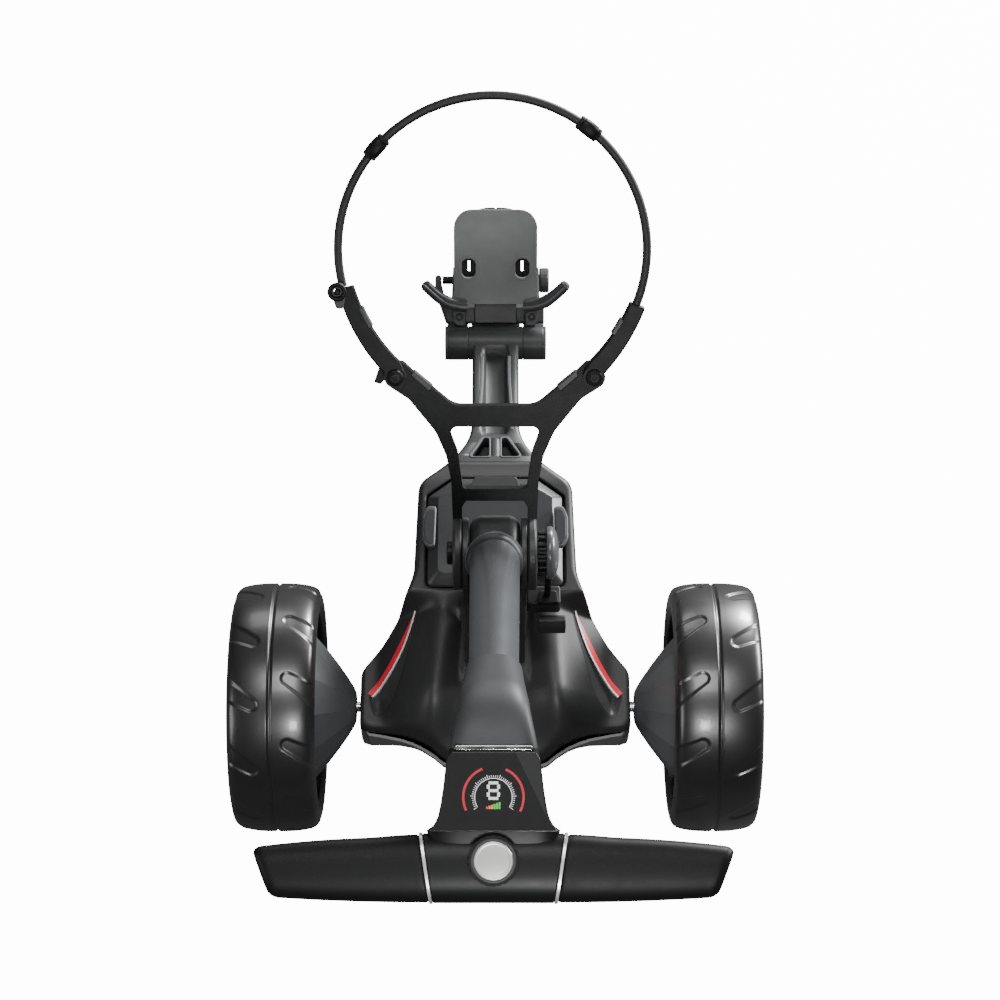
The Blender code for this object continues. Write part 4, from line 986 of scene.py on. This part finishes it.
def knob():
    disc = [(0, 66.6), (8, 66.4), (15, 65.6), (21, 64.1), (25.4, 61.8), (27.6, 59), (28, 56.4), (27, 54),
        (24.5, 52.8), (18, 52.6), (17, 44.4), (6.8, 44.4), (6.8, 57), (3, 58), (0, 58)]
    turned("knob_disc", disc[::-1], 128, "knob", "knob", ["clamp_knob"], at(HINGE))
    tooth = ((-0.32, 19.4), (-0.22, 23.2), (-0.1, 24), (0.1, 24), (0.22, 23.2), (0.32, 19.4))
    teeth = [(y, x) for x, y in toothed(16, tooth)]
    plate("knob_teeth", [teeth, circle(15, 48)], -52.9, -44.6, "knob", "deep", matrix=at(HINGE) @ ON_SIDE,
        bevel=0.8, segments=2)
    block = corner_arcs([(34.1, 45, 2), (70, 45, 3), (70, 66, 3), (34.1, 66, 2)], 4)
    plate("lock_housing", [block], 316.2, 341.8, "frame", "black", ["lock_block"], bevel=2.2, segments=3)
    cap = corner_arcs([(45, 43.4, 2), (68, 43.4, 2), (66, 58, 3), (47, 58, 3)], 4)
    plate("lock_cap", [cap], 341, 349, "frame", "deep", bevel=1.6)
    turned("lock_stem", rounded_rod(3.6, 330, 396, 1.2), 40, "frame", "deep", stands=(56, 54, 0))
    flag = [(z, y) for y, z in corner_arcs([(4, 6, 3), (5, -3, 3), (-7, -13, 3), (-12, -10, 2), (-8, 0, 3),
        (-3, 6, 3)], 5)]
    plate("lock_flag", [flag], -15, 15, "lock_lever", "black", ["lock_lever"], at((61, 38, 312)) @ ON_SIDE,
        bevel=1.4)


# ---------------------------------------------------------------- handle

TUBE_END = 476.0
NECK_STRAIGHT_END = 550.0
BEND_RADIUS = 41.0
HANDLE_DROOP = 16.0
CONSOLE_LENGTH = 66.0
HALF_THICK = 19.0
RING_SLANT = 0.151
GRIP_LENGTH = 132.8
CORE_MIDDLE = -96.5
PANEL_TOP = HALF_THICK + 0.9
GAUGE_MIDDLE = -39.6            # both along the console
DIAL_MIDDLE = -90.7


def heading(turn):
    """The directions along the handle and out of its back, at an angle from straight ahead."""
    return Vector((0, math.cos(turn), math.sin(turn))), Vector((0, math.sin(turn), -math.cos(turn)))


def neck_stations(count=24):
    slope = math.radians(126)
    ahead, up = heading(slope)
    made = [(HINGE + ahead * along, slope) for along in (TUBE_END + 0.35, TUBE_END + 1.2, 484, 500, 516,
        533, NECK_STRAIGHT_END)]
    pivot = HINGE + ahead * NECK_STRAIGHT_END - up * BEND_RADIUS
    for step in range(1, count + 1):
        turn = slope + (math.radians(180 + HANDLE_DROOP) - slope) * step / count
        made.append((pivot + heading(turn)[1] * BEND_RADIUS, turn))
    return made


CONSOLE_AT = neck_stations()[-1][0]
CONSOLE = tilted(CONSOLE_AT, HANDLE_DROOP)


def core_ring(x, slant, deep, thick, middle=CORE_MIDDLE, count=72, power=2.6):
    ring = oval((0, 0, 0), deep, thick, (0, 1, 0), UP, power, count)
    return [Vector((x + slant * point.y, middle + point.y, point.z)) for point in ring]


def housing():
    stations = neck_stations()
    straight = [0.0, 0.1, 0.35, 1.0, 1.6, 2.4, 3.0]
    places = straight + [3 + 7 * step / 24 for step in range(1, 25)]
    halves = np.interp(places, range(11), (25.2, 26.0, 27.0, 28.2, 28.9, 29.7, 30.6, 31.8, 33.3, 34.9,
        36.4))
    rings = []
    for index, ((centre, turn), half) in enumerate(zip(stations, halves)):
        up = heading(turn)[1]
        square = 2.7 + 1.9 * float(ramp(half, 25, 36))
        thick = 23.0 + (HALF_THICK - 23.0) * float(ramp(half, 25, 36))
        shrink = 0.965 if index == 0 else 1.0
        rings.append(oval(centre, half * shrink, thick * shrink, (1, 0, 0), up, square, 96))
    loft("neck_shell", rings, "shaft", "neck", ["handle_housing"], smooth=40)
    centre, turn = stations[-1]
    ahead, up = heading(turn)
    rings = [oval(centre + ahead * 0.1, 36.0, HALF_THICK - 0.4, (1, 0, 0), up, 4.8, 96)]
    for along in np.linspace(0.5, CONSOLE_LENGTH, 40):
        half = float(np.interp(along, (0, 10, 33, 46, 54, 60, 63, CONSOLE_LENGTH), (36.4, 38.3, 41, 43, 45,
            47.6, 50, 54.5)))
        rings.append(oval(centre + ahead * along, half, HALF_THICK, (1, 0, 0), up, 4.8, 96))
    rings.append(oval(centre + ahead * (CONSOLE_LENGTH + 14), 50, HALF_THICK - 4, (1, 0, 0), up, 4.8, 96))
    loft("console_shell", rings, "shaft", "core", smooth=40)
    core = [core_ring(x, RING_SLANT * x / 53.4, 28.2 - (0.7 if abs(x) > 53 else 0),
        HALF_THICK + 0.25 - 0.6 * abs(x) / 53.4 - (0.7 if abs(x) > 53 else 0)) for x in [-53.4, -52.6,
        *np.linspace(-48, 48, 25), 52.6, 53.4]]
    loft("handle_core", core, "shaft", "core", matrix=CONSOLE)
    for side, name in SIDES:
        band = [core_ring(side * x, side * RING_SLANT, deep, thick) for x, deep, thick in (
            (53.7, 28.4, 18.5), (54.1, 28.9, 19.0), (56.1, 28.9, 19.0), (56.5, 28.4, 18.5))]
        loft(f"trim_ring_{name}", band, "shaft", "silver", [f"handle_ring_{name}"], CONSOLE)
        rings = []
        parts = [0.0, 0.004, 0.015, *np.linspace(0.04, 0.9, 36), 0.92, 0.94, 0.955, 0.968, 0.979, 0.987,
            0.993, 0.997, 1.0]
        for part in parts:
            x = 56.8 + GRIP_LENGTH * part
            far = 69.2 + 2.0 * float(ramp(part, 0, 0.35)) + 8.3 * part ** 2.2
            near = 124.2 - 4.2 * part ** 2
            slant = RING_SLANT + 0.23 * part ** 2
            thick = 18.2 - 3.2 * part
            end = max(0.0, (part - 0.93) / 0.07)
            lead = max(0.0, (0.015 - part) / 0.015)
            shrink = (1 - 0.62 * (1 - math.sqrt(max(0.0, 1 - end ** 2.4)))) * (1 - 0.04 * lead ** 2)
            half = (near - far) / 2 * (1 - 0.3 * (1 - math.sqrt(max(0.0, 1 - end ** 2.4)))) * (1 - 0.03
                * lead ** 2)
            rings.append(core_ring(side * x, side * slant, half, thick * shrink, -(near + far) / 2))
        loft(f"grip_skin_{name}", rings, "shaft", "grip", [f"grip_{name}"], CONSOLE, smooth=60)
    tube = [(21.5, TUBE_END - 0.3), (25.7, 48.6), (24.4, 48.5), (20.4, TUBE_END - 0.2)]
    turned("shaft_skin", tube, 128, "shaft", "tube", ["shaft_tube"], SHAFT, stands=ORIGIN)


def inlay(name, outlines, paint, thick=0.16):
    """A printed mark or a painted reflection, standing a hair above the display panel."""
    plate(name, outlines, PANEL_TOP + 0.02, PANEL_TOP + thick, "shaft", paint, matrix=CONSOLE)


def arc_band(inner, outer, start, end, centre, steps=40):
    turns = [math.radians(start + (end - start) * step / steps) for step in range(steps + 1)]
    return [(centre[0] + radius * math.cos(turn), centre[1] + radius * math.sin(turn))
        for radius, edge in ((outer, turns), (inner, turns[::-1])) for turn in edge]


def display():
    right = [(34.0, -3, 3), (38.3, -10, 10), (41, -33, 30), (43, -46, 20), (45.5, -58, 12), (52.3, -67.3,
        0)]
    outline = corner_arcs(mirrored(right), 8)
    plate("display_glass", [outline], HALF_THICK - 1.6, PANEL_TOP, "shaft", "screen", ["display_panel"],
        CONSOLE, bevel=0.6)
    middle = (0.0, GAUGE_MIDDLE)
    # painted reflection: a lighter patch on the glass where a lamp's reflection falls
    sheen = [(33.5, -4.0), (37.2, -10.5), (39.6, -33), (41.4, -46), (43.5, -56.5), (18, -4.0)]
    inlay("display_painted_reflection", [sheen], "sheen", 0.06)
    inlay("gauge_ring", [arc_band(14.9, 15.5, -32, 212, middle)], "white")
    ticks = []
    for index in range(43):
        turn = -32 + 244 * index / 42
        long = index % 6 == 0
        ticks.append(arc_band(16.1, 18.6 if long else 17.6, turn - 0.8, turn + 0.8, middle, 1))
    inlay("gauge_ticks", ticks, "white")
    dashes = []
    for start in (-28, 112):
        for index in range(46):
            turn = start + index * 2.05
            dashes.append(arc_band(23.4, 25.4, turn, turn + 1.45, middle, 1))
    inlay("gauge_arcs", dashes, "red")
    digit(0.0, middle[1] + 5.2)
    for index, paint in enumerate(("red", "orange", "orange", "green", "green", "green")):
        left = -5.9 + index * 2.0
        top = middle[1] - 9.6 + 2.0 + index * 0.7
        foot = middle[1] - 9.6
        inlay(f"gauge_bar_{index}", [box(left, left + 1.6, foot, top)], paint)
    strip = corner_arcs([(-32, -0.4, 0.5), (-30.5, -1.6, 1), (30.5, -1.6, 1), (32, -0.4, 0.5), (31, 2, 1),
        (-31, 2, 1)], 4)
    plate("chrome_bar", [strip], HALF_THICK + 0.45, HALF_THICK + 1.75, "shaft", "chrome", ["chrome_strip"],
        CONSOLE, bevel=0.5)


def digit(x, y, wide=10.6, tall=14.8, bar=2.3):
    """A figure eight in seven segments."""
    left, low = x - wide / 2, y - tall / 2
    half = (tall - bar) / 2
    shapes = []
    for level in (0, half, 2 * half):
        shapes.append(box(left + bar * 0.6, left + wide - bar * 0.6, low + level, low + level + bar))
    for level in (0, half):
        for across in (0, wide - bar):
            shapes.append(box(left + across, left + across + bar, low + level + bar + 0.25,
                low + level + half - 0.25))
    inlay("gauge_figure", shapes, "white")


def dial():
    place = CONSOLE @ Matrix.Translation(Vector((0, DIAL_MIDDLE, 0)) * MM)
    notches = toothed(24, ((-0.32, 20.6), (0.32, 20.6), (0.4, 20.2), (0.45, 19.7), (0.55, 19.7),
        (0.6, 20.2)))
    plate("dial_wheel", [notches], 15.6, 24.4, "dial", "core", ["speed_dial"], place, bevel=0.9, segments=3)
    crown = [(14, 24.2), (18.4, 24.2), (18.4, 25.1), (17.6, 25.9), (16.4, 26.0), (14, 25.8)]
    turned("dial_crown", crown, 128, "dial", "dark", matrix=place, stands=ORIGIN)
    cap = [(0, 26.4), (15.0, 26.4), (15.6, 26.8), (15.6, 27.2), (15.1, 27.75), (13.8, 27.95), (13.2, 27.7),
        (12.6, 27.75), (8, 27.95), (3, 28.05), (0, 28.07)]
    turned("dial_face", cap, 128, "dial_button", "silver", ["dial_cap"], place, stands=ORIGIN)


# ---------------------------------------------------------------- pieces carried over from the CAD part

CARRIED = {
    "dark": ("battery_tray", "front_fork", "front_rim", "plate_bracket", "tracking_nut", "axle_lever"),
    "band": ("body_base",),
    "steel": ("gearbox_case", "gearbox_cover", "drive_axle", "axle_bearing_left", "axle_bearing_right",
        "axle_gear", "motor_pinion", "fold_pin"),
    "deep": ("hinge_bolt", "front_axle"),
    "board": ("control_unit",),
    "tube": ("motor",),
}


def carried():
    for paint, names in CARRIED.items():
        for name in names:
            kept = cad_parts[name].data.materials
            kept.clear()
            kept.append(PAINT[paint])


camera()
lights()
backdrop()
PAINT = materials()
carried()
strap()
rear_wheels()
front_wheel()
cover()
battery()
front_arm()
foot_plate()
cradle()
hinge()
housing()
display()
dial()
